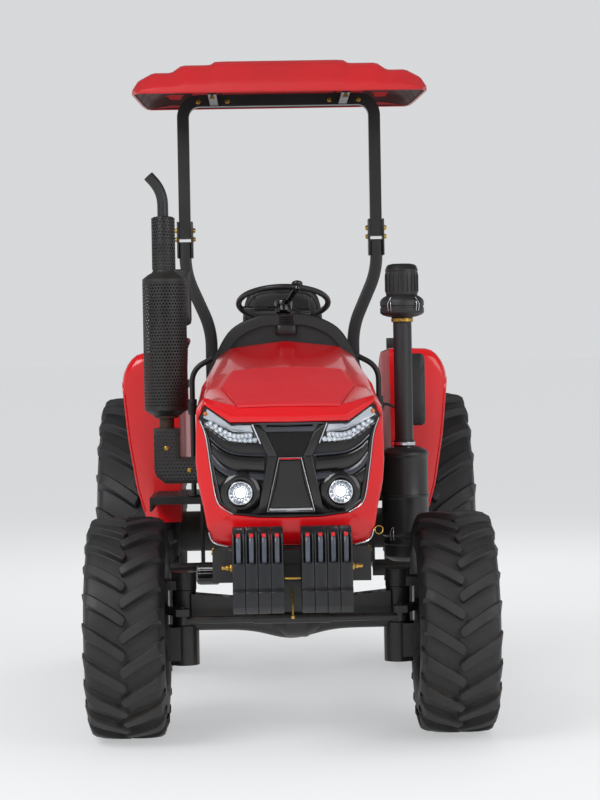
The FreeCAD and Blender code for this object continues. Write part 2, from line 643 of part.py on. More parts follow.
bulkhead = prism("xz", both_sides([(0, 1102), (325, 1102), (335, 1429), (297, 1528), (228, 1636),
                                   (109, 1694), (0, 1696)]),
                 bulkhead_y, bulkhead_y + wall)
ears = []
for side in (-1, 1):
    start = min(side * 60.0, side * 70.0)
    ears.append(box(start, start + 10.0, hinge_y - 12, bulkhead_y + 1, hinge_pin_z - 14, hinge_pin_z + 8))
ears = [ear.cut(rod("x", hinge_pin_r + bearing_gap, (-100, hinge_y, hinge_pin_z), 200)) for ear in ears]
save("cowl", fuse([cowl, foot_shell, bulkhead] + ears))

# Steering column and wheel
wheel_tilt = 20.0
wheel_centre = (0.0, cowl_back + 160.0, 1765.0)
wheel_radius = 205.0
grip_radius = 14.0
lean = Vector(0, math.sin(math.radians(wheel_tilt)), math.cos(math.radians(wheel_tilt)))
centre = Vector(*wheel_centre)
column_low = centre - lean * 230.0
column = Part.makeCylinder(34.0, 170.0, column_low, lean)
column_top = Part.makeCylinder(12.0, 51.0, centre - lean * 62.0, lean)
boot = Part.makeCone(70.0, 40.0, 70.0, centre - lean * 232.0, lean)
column_arm = box(-30, 30, cowl_back + seat_gap, (centre - lean * 170).y + 20, 1560, 1600)
save("steering_column", fuse([column, column_top, boot, column_arm]))
rim_ring = Part.makeTorus(wheel_radius, grip_radius, centre, lean)
hub_low = centre - lean * 52.0
hub = Part.makeCylinder(38.0, 52.0, hub_low, lean).cut(Part.makeCylinder(12.0 + bearing_gap, 60.0,
                                                                         centre - lean * 70.0, lean))
pad = Part.makeCone(42.0, 30.0, 14.0, centre, lean)
spokes = []
for count in range(3):
    angle = 2 * math.pi * count / 3 + math.pi * HALF
    across = Vector(1, 0, 0) * math.cos(angle) + lean.cross(Vector(1, 0, 0)) * math.sin(angle)
    spokes.append(bar_between(tuple(centre - lean * 14 + across * 30),
                              tuple(centre + across * (wheel_radius - 4)), 9.0))
knob_at = centre + lean * 10 - lean.cross(Vector(1, 0, 0)) * wheel_radius
knob = Part.makeCylinder(17.0, 44.0, knob_at, lean)
save("steering_wheel", fuse([rim_ring, hub, pad, knob] + spokes))

# Platform: ribbed foot plates on both sides, each with a step below
fender_in, fender_out = 486.0, 772.0
fender_front = rear_y - 712.0
seat_y = rear_y - 570.0
platform_front = front_y + 900.0
platform_back = rear_y - 700.0
platform_in, platform_out = 205.0, 610.0
deck_length = fender_front - platform_front
rib_pitch = (deck_length - 38.0) / 10
deck_plate = fuse([box(platform_in, platform_out, platform_front, fender_front - seat_gap, deck_z - 30,
                       deck_z),
                   box(platform_in, fender_in - seat_gap, platform_front, platform_back + 150, deck_z - 30,
                       deck_z)])
deck_ribs = [box(platform_in + 20, platform_out - 20, platform_front + 20 + row * rib_pitch,
                 platform_front + 38 + row * rib_pitch, deck_z - 1, deck_z + 5)
             for row in range(10)]
lip = box(platform_out - 10, platform_out, platform_front, fender_front - seat_gap, deck_z - 60, deck_z - 1)
floor = box(-platform_in - 1, platform_in + 1, platform_front, seat_y + 10, deck_z - 1, deck_z + 5)
step_front, step_depth = platform_front + 0.41 * deck_length, 0.55 * deck_length
step_low = 560.0
step_leg = 0.2 * step_depth
step_plate = box(380, 600, step_front, step_front + step_depth, step_low, step_low + 14)
step_legs = [box(380, 392, start, start + step_leg, step_low + 13, deck_z - 29)
             for start in (step_front + 0.04 * step_depth, step_front + 0.75 * step_depth)]
cross = box(-platform_in - 5, platform_in + 5, platform_front + 60, platform_front + 120,
            case_top + seat_gap, deck_z)
cross_back = box(-platform_in - 5, platform_in + 5, platform_back + 60, platform_back + 120,
                 case_top + seat_gap, deck_z)
platform_pieces = [floor, cross, cross_back]
for piece in [deck_plate, lip, step_plate] + step_legs + deck_ribs:
    platform_pieces.extend(pair(piece))
save("platform", fuse(platform_pieces))

# Fenders over the rear tyres
fender_top = 1552.0
fender_side = [(fender_front, 762), (fender_front, 1500), (fender_front + 60, fender_top),
               (rear_y + 230, fender_top - 20),
               (rear_y + 520, fender_top - 210), (rear_y + 712, 1150), (rear_y + 706, 1140),
               (rear_y + 514, fender_top - 222),
               (rear_y + 226, fender_top - 26), (fender_front + 64, fender_top - 6),
               (fender_front + 6, 1497), (fender_front + 6, 762)]
skin = prism("yz", fender_side, fender_in, fender_out)
slope = prism("xz", [(fender_in + 190, fender_top + 1), (fender_out + 1, fender_top - 150),
                     (fender_out + 1, fender_top + 1)],
              fender_front - 1, rear_y + 240)
front_trim = prism("xz", [(fender_out - 46, 700), (fender_out + 1, 700), (fender_out + 1, 1380)],
                   fender_front - 1, fender_front + 20)
inner_wall = prism("yz", [(fender_front, 762), (fender_front, 1500), (fender_front + 60, fender_top),
                          (rear_y + 230, fender_top - 20),
                          (rear_y + 520, fender_top - 210), (rear_y + 712, 1150), (rear_y + 640, 1010),
                          (rear_y + 200, 900),
                          (rear_y - 300, 900), (fender_front + 120, 762)], fender_in, fender_in + 6)
bevel = prism("xz", [(fender_in + 186, fender_top), (fender_out, fender_top - 154),
                     (fender_out, fender_top - 162), (fender_in + 186, fender_top - 8)],
              fender_front + 60, rear_y + 230)
fender = fuse([skin.cut(slope).cut(front_trim), inner_wall, bevel])
save("fender_left", fender)
save("fender_right", mirrored(fender))

# Seat: suspension box, cushion and high back
seat_half = 235.0
seat_base_top = 1268.0
seat_box = box(-150, 150, seat_y + 90, seat_y + 420, case_top + seat_gap, 1180)
seat_pan = box(-210, 210, seat_y + 10, seat_y + 470, 1180, seat_base_top)
save("seat_base", fuse([seat_box, seat_pan]))
cushion_outline = [(seat_y, 1300), (seat_y + 20, seat_base_top + seat_gap),
                   (seat_y + 400, seat_base_top + seat_gap), (seat_y + 410, 1350), (seat_y + 60, 1385),
                   (seat_y + 8, 1360)]
save("seat_cushion", prism("yz", cushion_outline, -seat_half, seat_half))
back_outline = [(seat_y + 412, seat_base_top + seat_gap), (seat_y + 468, seat_base_top + seat_gap),
                (seat_y + 570, 1860), (seat_y + 548, 1885), (seat_y + 510, 1870), (seat_y + 412, 1360)]
save("seat_back", prism("yz", back_outline, -seat_half, seat_half))

# Roll bar: fixed posts with hinge plates, and a folding hoop
post_half = 30.0
post_x = 478.0
post_low_x = 355.0
rops_y = rear_y + 190.0
post_top = 2098.0
hinge_z = post_top + 58.0
bend_low, bend_high = post_top - 438.0, post_top - 158.0
post_outline = [(post_low_x - post_half, 775), (post_low_x + post_half, 775),
                (post_low_x + post_half, bend_low),
                (post_x + post_half, bend_high), (post_x + post_half, post_top),
                (post_x - post_half, post_top),
                (post_x - post_half, bend_high + 12), (post_low_x - post_half, bend_low + 12)]
post = prism("xz", post_outline, rops_y - post_half, rops_y + post_half)
foot_low = rear_z + trumpet_radius + seat_gap
foot = box(post_low_x - 60, post_low_x + 60, rear_y - 60, rops_y + post_half, foot_low, foot_low + 20)
foot_wall = box(post_low_x - 60, post_low_x + 60, rear_y + trumpet_radius + seat_gap, rops_y + post_half,
                foot_low - 70, foot_low + 20)
hinge_plates = []
for side in (-1, 1):
    start = post_x + side * (post_half + 5) - 5
    hinge_plates.append(box(start, start + 10, rops_y - 42, rops_y + 42, post_top - 80, post_top + 102))
hinge_pin_radius = 9.0
hinge_pin = rod("x", hinge_pin_radius, (post_x - post_half - 18, rops_y, hinge_z), 2 * post_half + 36)
save("rops_posts", pair(fuse([post, foot, foot_wall, hinge_pin] + hinge_plates)))
hoop_top = 2830.0
hoop_low = post_top + 16.0
hoop_half = post_half - 1.0
hoop_bend = 112.0
hoop_outer, hoop_inner = post_x + hoop_half, post_x - hoop_half
hoop_under = hoop_top - 2 * hoop_half
hoop_outline = [(-hoop_outer, hoop_low), (-hoop_outer, hoop_top), (hoop_outer, hoop_top),
                (hoop_outer, hoop_low),
                (hoop_inner, hoop_low), (hoop_inner, hoop_under), (-hoop_inner, hoop_under),
                (-hoop_inner, hoop_low)]


def corner_edges(shape, half_width, height):
    """Edges along Y at one height on both sides."""
    return [edge for edge in shape.Edges
            if abs(abs(edge.CenterOfMass.x) - half_width) < 0.01 and abs(edge.CenterOfMass.z - height) < 0.01
            and edge.BoundBox.YLength > hoop_half]


hoop = prism("xz", hoop_outline, rops_y - hoop_half, rops_y + hoop_half)
hoop = hoop.makeFillet(hoop_bend, corner_edges(hoop, hoop_outer, hoop_top))
hoop = hoop.makeFillet(hoop_bend - 2 * hoop_half, corner_edges(hoop, hoop_inner, hoop_under))
hoop_bores = pair(rod("x", hinge_pin_radius + bearing_gap, (post_x - 60, rops_y, hinge_z), 120))
stays = pair(box(300, 340, rops_y - 520, rops_y - hoop_half + 2, hoop_top - 55, hoop_top - 35))
save("rops_hoop", cut(fuse([hoop] + stays), hoop_bores))

# Canopy: a moulded roof, stepped up to a raised middle, with a lined hollow that the hoop bears on
canopy_front, canopy_back = rops_y - 960.0, rops_y + 330.0
canopy_low_front, canopy_low_back = hoop_top - 93.0, hoop_top - 30.0
# Columns: half width, rise above the rim's lower edge
canopy_profile = [(683, 0), (683, 20), (655, 70), (585, 112), (500, 112), (450, 150), (320, 150),
                  (295, 168)]
# Columns: distance from the front, width and rise, as shares
canopy_rows = [(0.0, 0.955, 0.25), (0.07, 1.0, 0.86), (0.3, 1.0, 1.0), (0.75, 1.0, 0.92),
               (0.95, 0.99, 0.78),
               (1.0, 0.96, 0.25)]
canopy_wall = 14.0
hoop_share = (rops_y - canopy_front) / (canopy_back - canopy_front)
lining_rise = hoop_top + seat_gap - canopy_low_front - (canopy_low_back - canopy_low_front) * hoop_share
canopy_sectors = []
for share, width, rise in canopy_rows:
    y = canopy_front + (canopy_back - canopy_front) * share
    low = canopy_low_front + (canopy_low_back - canopy_low_front) * share
    side = [(x * width, y, low + z * rise) for x, z in canopy_profile]
    canopy_sectors.append(side + [(-x, y, z) for x, y, z in reversed(side)])
hollow_half = canopy_profile[0][0] * canopy_rows[0][1] - canopy_wall
hollow_outline = [(canopy_front + canopy_wall, canopy_low_front - 20),
                  (canopy_back - canopy_wall, canopy_low_back - 20),
                  (canopy_back - canopy_wall - 20, canopy_low_back + lining_rise - 20),
                  (rops_y + hoop_half, hoop_top + seat_gap),
                  (canopy_front + 120, canopy_low_front + lining_rise),
                  (canopy_front + canopy_wall + 20, canopy_low_front + 16)]
hollow = prism("yz", hollow_outline, -hollow_half, hollow_half)
canopy = loft(canopy_sectors).cut(hollow)
canopy = cut(canopy, [hoop] + stays)
save("canopy", canopy)

# Exhaust on the right: elbow, perforated guard and curved tail pipe
stack_x, stack_y = -512.0, front_y + 550.0
manifold_z = 1045.0
guard_low, guard_high, guard_radius = 1280.0, 1887.0, 93.0
upper_radius, upper_high = 47.0, 2127.0
pipe_radius = 21.5
guard = revolve("z", [(guard_low, 0), (guard_low, 60), (guard_low + 22, guard_radius),
                      (guard_high - 30, guard_radius),
                      (guard_high, upper_radius), (upper_high, upper_radius), (upper_high, 0)],
                      (stack_x, stack_y, 0))
guard_slots = []
for row in range(13):
    for count in range(3):
        turn = 30.0 * (row % 2) + 60.0 * count
        slot = box(-guard_radius - 5, guard_radius + 5, -6, 6, guard_low + 60 + row * 38,
                   guard_low + 78 + row * 38)
        slot = slot.cut(rod("z", guard_radius - 3.0, (0, 0, guard_low), 700))
        guard_slots.append(place_wheel(turned(slot, "z", turn, (0, 0, 0)), stack_x, stack_y, 0))
tail = bent_tube([(stack_x, stack_y, upper_high - 5), (stack_x, stack_y, upper_high + 108),
                   (stack_x - 60, stack_y, upper_high + 173)], pipe_radius, 60.0)
save("muffler", fuse([cut(guard, guard_slots), tail]))
elbow = bent_tube([(stack_x, stack_y, guard_low - seat_gap), (stack_x, stack_y, manifold_z),
                   (-engine_half - 55 - seat_gap, stack_y, manifold_z)], 32.0, 70.0)
flange = rod("z", 52.0, (stack_x, stack_y, guard_low - 12), 11.7)
elbow_flange = rod("x", 44.0, (-engine_half - 55 - 12, stack_y, manifold_z), 12 - seat_gap)
# Perforated cover of the elbow: an L in front view, open to the rear, on two stand-offs. Columns: x, height
cover_half, cover_wall, cover_top, cover_end = 54.0, 4.0, 1225.0, -367.0
cover_outline = [(stack_x - cover_half, cover_top), (stack_x - cover_half, manifold_z),
                 (stack_x, manifold_z - cover_half),
                 (cover_end, manifold_z - cover_half), (cover_end, manifold_z + cover_half),
                 (stack_x + cover_half, manifold_z + cover_half), (stack_x + cover_half, cover_top)]
cover = prism("xz", cover_outline, stack_y - cover_half, stack_y + cover_half)
cover_core = prism("xz", inset_outline(cover_outline, cover_wall), stack_y - cover_half + cover_wall,
                   stack_y + cover_half + 1)
cover_ends = [box(stack_x - cover_half + cover_wall, stack_x + cover_half - cover_wall,
                  stack_y - cover_half + cover_wall,
                  stack_y + cover_half + 1, cover_top - 10, cover_top + 1),
              box(cover_end - 10, cover_end + 1, stack_y - cover_half + cover_wall,
                  stack_y + cover_half + 1,
                  manifold_z - cover_half + cover_wall, manifold_z + cover_half - cover_wall)]
stand_offs = [rod("y", 9.0, (x, stack_y - cover_half, z), cover_half - 20) for x,
              z in ((stack_x, 1140), (-416, manifold_z))]
save("exhaust_elbow", fuse([elbow, flange, elbow_flange,
                            cut(cover, [cover_core] + cover_ends)] + stand_offs))

# Air cleaner on the left with its intake stack and pre-cleaner bowl
cleaner_x, cleaner_y = 508.0, front_y + 690.0
cleaner_low, cleaner_high, cleaner_radius = 630.0, 1123.0, 104.0
canister = revolve("z", [(cleaner_low, 0), (cleaner_low, 70), (cleaner_low + 20, 92),
                         (cleaner_low + 110, 92), (cleaner_low + 116, cleaner_radius),
                         (cleaner_high - 24, cleaner_radius), (cleaner_high, 72), (cleaner_high, 0)],
                         (cleaner_x, cleaner_y, 0))
duct = rod("x", 24.0, (119, cleaner_y, 1066), cleaner_x - 119)
strap = box(engine_half - 1, cleaner_x - cleaner_radius + 10, cleaner_y - 20, cleaner_y + 20, 820, 850)
save("air_cleaner", cut(fuse([canister, duct, strap]), [block, head]))
intake = revolve("z", [(cleaner_high + seat_gap, 0), (cleaner_high + seat_gap, 46), (1150, 46), (1150, 40),
                       (1660, 40), (1660, 46), (1682, 46), (1690, 82),
                       (1702, 95), (1752, 95), (1767, 84), (1776, 69), (1880, 69), (1906, 56), (1914, 0)],
                       (cleaner_x, cleaner_y, 0))
save("intake_stack", intake)

# Side hoops beside the cowl, with the mirrors on them
hoop_x, hoop_y = 413.0, cowl_front + 50.0
cowl_block = prism("xz", both_sides(cowl_outline), cowl_front, cowl_back)
side_hoop = bent_tube([(hoop_x, hoop_y, floor_z), (hoop_x, hoop_y, 1470), (280, hoop_y, 1540)], 12.0,
                      60.0).cut(cowl_block)
sleeve = ring("z", 20.0, 12.0, (hoop_x, hoop_y, 1270), 70)
save("side_hoops", pair(fuse([side_hoop, sleeve])))


def mirror_solid(side, arm_from, arm_to, low, high, half):
    """One mirror head on its arm. The arm starts on the hoop's sleeve."""
    head_y = hoop_y
    head = prism("xz", [(arm_to - half, low + 20), (arm_to - half + 15, low), (arm_to + half - 15, low),
                        (arm_to + half, low + 20),
                        (arm_to + half, high - 20), (arm_to + half - 15, high), (arm_to - half + 15, high),
                        (arm_to - half, high - 20)],
                 head_y - 16, head_y + 16)
    arm = bent_tube([(side * (hoop_x + 22.0), hoop_y, 1300), (side * (hoop_x + 34), hoop_y, 1304),
                     (arm_to, head_y, low + 40)], 6.0, 8.0)
    return fuse([head, arm])


save("mirrors", [mirror_solid(-1, 1300, -470, 1665, 1915, 60), mirror_solid(1, 1300, 564, 1205, 1525, 55)])

# Hand levers by the right fender and the pedals
lever_base = box(-fender_in + seat_gap, -fender_in + 40, fender_front + 90, fender_front + 330, 1380, 1420)
levers = []
for count in range(3):
    y = fender_front + 120 + count * 80
    levers.append(bar_between((-fender_in + 22, y, 1419), (-fender_in + 30, y - 30, 1590), 6.0))
    levers.append(Part.makeSphere(17.0, Vector(-fender_in + 30, y - 30, 1598)))
pedals = []
for x in (-250, -160, 160):
    pedal = fuse([box(x - 36, x + 36, cowl_back + 60, cowl_back + 72, 980, 1042),
                  bar_between((x, cowl_back + 62, 1010), (x, cowl_back + 16, 1128), 8.0),
                  box(x - 14, x + 14, cowl_back + seat_gap, cowl_back + 26, 1112, 1150)])
    pedals.append(pedal)
save("controls", [fuse([lever_base] + levers)] + pedals)

# Oil filter on the gearbox's right side
filter_y, filter_z = engine_back + 30.0, 578.0
save("oil_filter", revolve("x", [(-190 - seat_gap, 0), (-190 - seat_gap, 34), (-306, 34), (-306, 50),
                                 (-396, 50), (-406, 42), (-406, 0)], (0, filter_y, filter_z)))

# Tail lamps on the fenders
tail_lamp = box(520, 620, rear_y + 150, rear_y + 200, fender_top - 17.9, fender_top + 50)
save("tail_lamps", pair(tail_lamp))

# Hitch: lift housing with the rocker shaft, lower link brackets and top link ears
link_pivot = (rear_y + 160.0, 470.0)
link_length = rear_reach - 160.0 - 35.0
link_x_front, link_x_back = 240.0, 335.0
rocker = (rear_y + 120.0, 962.0)
arm_reach, arm_rest = 300.0, 8.0
rod_on_link = 0.56738 * link_length
lift_arm_x = 268.0
lift_rod_x = 291.0
rocker_radius = 27.0
link_pin_radius = 14.0
top_bore = 12.85
ball_bore = 14.4
ball_radius = 35.0
housing = box(-170, 170, rear_y - 40, case_back, case_top + seat_gap, 1012)
shaft = rod("x", rocker_radius, (-lift_arm_x - 14, rocker[0], rocker[1]), 2 * lift_arm_x + 28)
ears = pair(box(24, 42, case_back - 20, case_back + 70, 860, 1000))
top_bores = rod("x", top_bore, (-60, case_back + 42, 950), 120)
brackets = pair(box(case_half + seat_gap, 214, link_pivot[0] - 60, link_pivot[0] + 45, 425, 540))
link_pins = pair(rod("x", link_pin_radius, (200, link_pivot[0], link_pivot[1]), 66))
shield = prism("yz", [(case_back + seat_gap, 640), (case_back + 110, 660), (case_back + 110, 652),
                      (case_back + seat_gap, 632)], -110, 110)
upper = cut(fuse([housing, shaft] + ears), [top_bores])
save("hitch_frame", [upper.cut(rear_case), shield] + pair(fuse([brackets[0], link_pins[0]])))

arm_turn = math.radians(arm_rest)
tip = (rocker[0] + arm_reach * math.cos(arm_turn), rocker[1] + arm_reach * math.sin(arm_turn))
arm_plate = prism("yz", [(rocker[0] - 40, rocker[1] - 38), (rocker[0] + 30, rocker[1] - 46),
                         (tip[0] + 8, tip[1] - 26), (tip[0] + 30, tip[1]),
                         (tip[0] + 8, tip[1] + 26), (rocker[0] + 20, rocker[1] + 46),
                         (rocker[0] - 40, rocker[1] + 38)],
                  lift_arm_x - 12, lift_arm_x + 8)
arm_plate = arm_plate.cut(rod("x", rocker_radius + bearing_gap, (lift_arm_x - 30, rocker[0], rocker[1]),
                              60))
tip_pin = rod("x", 12.0, (lift_arm_x, tip[0], tip[1]), 44)
save("lift_arms", pair(fuse([arm_plate, tip_pin])))

link_end = link_pivot[0] + link_length
link_bar = prism("xy", [(link_x_front - 11, link_pivot[0]), (link_x_front + 11, link_pivot[0]),
                        (link_x_back + 11, link_end), (link_x_back - 11, link_end)], link_pivot[1] - 28,
                        link_pivot[1] + 28)
link_eye = rod("x", 32.0, (link_x_front - 14, link_pivot[0], link_pivot[1]), 28)
ball_eye = rod("x", ball_radius, (link_x_back - 18, link_end, link_pivot[1]), 36)
rod_pin = rod("x", 11.0, (lift_rod_x - 34, link_pivot[0] + rod_on_link, link_pivot[1]), 68)
lower_link = fuse([link_bar, link_eye, ball_eye, rod_pin])
lower_link = cut(lower_link, [rod("x", link_pin_radius + bearing_gap, (190, link_pivot[0], link_pivot[1]),
                                  100),
                              rod("x", ball_bore, (link_x_back - 60, link_end, link_pivot[1]), 120)])
save("lower_links", pair(lower_link))

drift_room = 6.0
rod_foot = (link_pivot[0] + rod_on_link, link_pivot[1])
down = Vector(0, rod_foot[0] - tip[0], rod_foot[1] - tip[1])
rod_length = down.Length
along = down.normalize()
tip_point = Vector(lift_rod_x, tip[0], tip[1])
foot_point = Vector(lift_rod_x, rod_foot[0], rod_foot[1])
rod_lean = math.degrees(math.atan2(along.y, -along.z))
fork_reach = 70.0
top_eye = rod("x", 24.0, (lift_rod_x - 10, tip[0], tip[1]), 20)
shank = Part.makeCylinder(13.0, rod_length - fork_reach - 10, tip_point + along * 20, along)
turnbuckle = Part.makeCylinder(20.0, 200.0, tip_point + along * 140, along)
bridge = box(lift_rod_x - 27, lift_rod_x + 27, -20, 20, -8, 8)
bridge.rotate(Vector(lift_rod_x, 0, 0), AXES["x"], rod_lean)
bridge.translate(Vector(0, foot_point.y - along.y * fork_reach, foot_point.z - along.z * fork_reach))
fork = []
for side in (-1, 1):
    ear = box(lift_rod_x + side * 19, lift_rod_x + side * 27, -20, 20, 0, fork_reach + 6)
    ear.rotate(Vector(lift_rod_x, 0, 0), AXES["x"], rod_lean)
    ear.translate(Vector(0, foot_point.y, foot_point.z))
    fork.append(ear)
    fork.append(rod("x", 26.0, (min(side * 19, side * 27) + lift_rod_x, foot_point.y, foot_point.z), 8))
lift_rod = fuse([top_eye, shank, turnbuckle, bridge] + fork)
lift_rod = cut(lift_rod, [rod("x", 12.0 + bearing_gap, (lift_rod_x - 30, tip[0], tip[1]), 60),
                          rod("x", 11.0 + drift_room, (lift_rod_x - 60, rod_foot[0], rod_foot[1]), 120)])
save("lift_rods", pair(lift_rod))

# Power take-off stub with splines, in a bore of the rear case
pto_z, pto_radius, pto_root = 560.0, 17.5, 15.0
spline_count = 6
spline_outline = []
for count in range(spline_count):
    for share, radius in ((-0.3, pto_root), (-0.22, pto_radius), (0.22, pto_radius), (0.3, pto_root)):
        angle = 2 * math.pi * (count + share) / spline_count
        spline_outline.append((radius * math.cos(angle), pto_z + radius * math.sin(angle)))
stub = prism("xz", spline_outline, case_back + 14, case_back + 90)
journal = rod("y", 25.0, (0, case_back - 60, pto_z), 75)
save("pto_shaft", fuse([stub, journal]))
rear_case = rear_case.cut(rod("y", 25.0 + bearing_gap, (0, case_back - 62, pto_z), 70))
save("gearbox", fuse([loft(sections), rear_case, drive_outlet]))

# Drawbar under the rear case, with its hanger
drawbar_low, drawbar_high = 340.0, 372.0
drawbar_end = case_back + 240.0
pin_bore = 15.0
bar = box(-34, 34, rear_y - 150, drawbar_end, drawbar_low, drawbar_high)
bar = bar.cut(rod("z", pin_bore, (0, drawbar_end - 42, drawbar_low - 1), 40))
hanger = box(-120, 120, case_back - 60, case_back - 30, drawbar_low - 14,
             470 - seat_gap).cut(box(-70, 70, case_back - 61, case_back - 29, drawbar_high + 4, 440))
front_hanger = box(-50, 50, rear_y - 150, rear_y - 110, drawbar_low - 10, 470 - seat_gap)
save("drawbar", fuse([bar, hanger, front_hanger]))
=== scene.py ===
"""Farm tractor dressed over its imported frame. Tables are in millimetres and the meshes in metres."""
import json
import logging
import math
from dataclasses import dataclass, field
from enum import Enum

import bmesh
import bpy
import numpy as np
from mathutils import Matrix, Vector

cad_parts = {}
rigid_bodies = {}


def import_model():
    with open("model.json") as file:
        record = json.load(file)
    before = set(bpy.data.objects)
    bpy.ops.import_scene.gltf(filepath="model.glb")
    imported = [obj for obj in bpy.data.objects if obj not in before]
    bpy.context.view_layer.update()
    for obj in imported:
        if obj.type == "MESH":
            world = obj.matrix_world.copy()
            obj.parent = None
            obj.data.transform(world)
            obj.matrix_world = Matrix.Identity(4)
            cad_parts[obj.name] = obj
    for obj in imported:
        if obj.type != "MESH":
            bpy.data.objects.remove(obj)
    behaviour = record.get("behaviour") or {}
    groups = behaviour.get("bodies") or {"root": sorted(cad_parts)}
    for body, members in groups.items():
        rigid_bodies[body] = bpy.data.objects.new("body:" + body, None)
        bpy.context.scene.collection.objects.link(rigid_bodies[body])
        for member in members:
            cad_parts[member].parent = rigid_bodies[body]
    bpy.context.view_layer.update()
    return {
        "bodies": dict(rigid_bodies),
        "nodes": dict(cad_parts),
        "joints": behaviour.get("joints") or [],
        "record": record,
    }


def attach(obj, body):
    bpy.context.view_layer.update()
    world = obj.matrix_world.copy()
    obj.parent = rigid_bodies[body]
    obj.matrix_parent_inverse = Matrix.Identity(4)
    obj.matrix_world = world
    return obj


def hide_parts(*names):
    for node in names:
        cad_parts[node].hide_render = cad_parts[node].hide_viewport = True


LOG = logging.getLogger("tractor")
MM = 0.001
TURN = 2.0 * math.pi
SIDES = (-1.0, 1.0)
# Metres within which points are one, and degrees over which an edge is rounded
MERGED, ROUNDED = 1e-5, 30.0
# A divisor is never nearer to nought than this, and a ray that meets nothing is this long
TINY, FAR = 1e-9, 1e9
# Across and height of the middle of the left work lamp and the pod round it
WORK_LAMP = (190.0, 1010.0)
# Points of one cell of a punched sheet, which has half as many quads
CELL = 16
# Share of the pebbled cells in a grain's height, and how far brushed grain is drawn out
PEBBLE_CELLS, RUBBER_CELLS, BRUSHED_STRETCH = 0.8, 0.2, 0.03
# A finish's roughness swings between these shares of its value, and a coat has its own roughness
SMOOTHER, ROUGHER, COAT_ROUGHNESS = 0.85, 1.2, 0.04
Points = np.ndarray
Colour = tuple[float, float, float]
Socket = bpy.types.NodeSocket


class Axis(Enum):
    """The direction that a shape is turned round or pushed along."""

    X = 0
    Y = 1
    Z = 2


class Grain(Enum):
    """How a finish is broken up at close range."""

    SMOOTH = "smooth"
    CAST = "cast"
    PEBBLE = "pebble"
    RUBBER = "rubber"
    BRUSHED = "brushed"


def linear(red: int, green: int, blue: int) -> Colour:
    """A colour picked on the screen, as linear light.

    Args:
        red: Screen value from 0 to 255.
        green: The same for green.
        blue: The same for blue.

    Returns:
        The three values from nought to one.
    """
    share = np.array([red, green, blue]) / 255.0
    lit = np.where(share <= 0.04045, share / 12.92, ((share + 0.055) / 1.055) ** 2.4)
    return tuple(float(value) for value in lit)


class Wiring:
    """A node tree with short ways to add the nodes that the materials use."""

    def __init__(self, tree: bpy.types.NodeTree) -> None:
        """Takes over a tree and empties it."""
        self.tree = tree
        tree.nodes.clear()

    @classmethod
    def group(cls, name: str, inputs: dict[str, object], outputs: dict[str, str]) -> "Wiring":
        """Starts a node group.

        Args:
            name: The group's name.
            inputs: Default values by input name; a tuple makes a colour socket.
            outputs: Kinds of socket by output name.

        Returns:
            The group's wiring, with its inlet and outlet sockets.
        """
        wiring = cls(bpy.data.node_groups.new(name, "ShaderNodeTree"))
        for key, value in inputs.items():
            kind = "NodeSocketColor" if isinstance(value, tuple) else "NodeSocketFloat"
            socket = wiring.tree.interface.new_socket(key, in_out="INPUT", socket_type=kind)
            socket.default_value = (*value, 1.0) if isinstance(value, tuple) else value
        for key, kind in outputs.items():
            wiring.tree.interface.new_socket(key, in_out="OUTPUT", socket_type="NodeSocket" + kind)
        wiring.inlet = wiring.tree.nodes.new("NodeGroupInput").outputs
        wiring.outlet = wiring.tree.nodes.new("NodeGroupOutput").inputs
        return wiring

    def send(self, **results: Socket) -> bpy.types.NodeTree:
        """Links a group's results to its outlet.

        Args:
            results: Sockets by output name.

        Returns:
            The finished group.
        """
        for name, socket in results.items():
            self.tree.links.new(socket, self.outlet[name])
        return self.tree

    def node(self, kind: str, **values: object) -> bpy.types.Node:
        """Adds a node.

        Args:
            kind: The node's type, after the word ShaderNode.
            values: Sockets by name with underscores, or by "in" and their number, as plain values or as sockets
                to link; or settings of the node.

        Returns:
            The new node.
        """
        node = self.tree.nodes.new("ShaderNode" + kind)
        for key, value in values.items():
            sockets = [s for s in node.inputs if s.name.replace(" ", "_") == key and s.enabled]
            if key.startswith("in") and key[2:].isdigit():
                sockets = [node.inputs[int(key[2:])]]
            if not sockets:
                setattr(node, key, value)
            elif isinstance(value, Socket):
                self.tree.links.new(value, sockets[0])
            else:
                sockets[0].default_value = value
        return node

    def place(self) -> Socket:
        """Places in the object's own coordinates."""
        return self.node("TexCoord").outputs["Object"]

    def maths(self, operation: str, first: object, second: object, **more: object) -> Socket:
        """A sum of two values or sockets."""
        return self.node("Math", operation=operation, in0=first, in1=second, **more).outputs[0]

    def span(self, value: Socket, low: object, high: object, **more: object) -> Socket:
        """Where a value lies between two others, from nought at the first to one at the second."""
        return self.node("MapRange", Value=value, From_Min=low, From_Max=high, **more).outputs[0]

    def noise(self, place: Socket, scale: object, detail: float, **more: object) -> Socket:
        """Smooth noise from nought to one."""
        return self.node("TexNoise", Vector=place, Scale=scale, Detail=detail, **more).outputs["Fac"]

    def blend(self, share: Socket, first: object, second: object) -> Socket:
        """Two colours mixed: a Mix node has its colours at the inputs 6 and 7 and the output 2."""
        return self.node("Mix", data_type="RGBA", Factor=share, in6=first, in7=second).outputs[2]


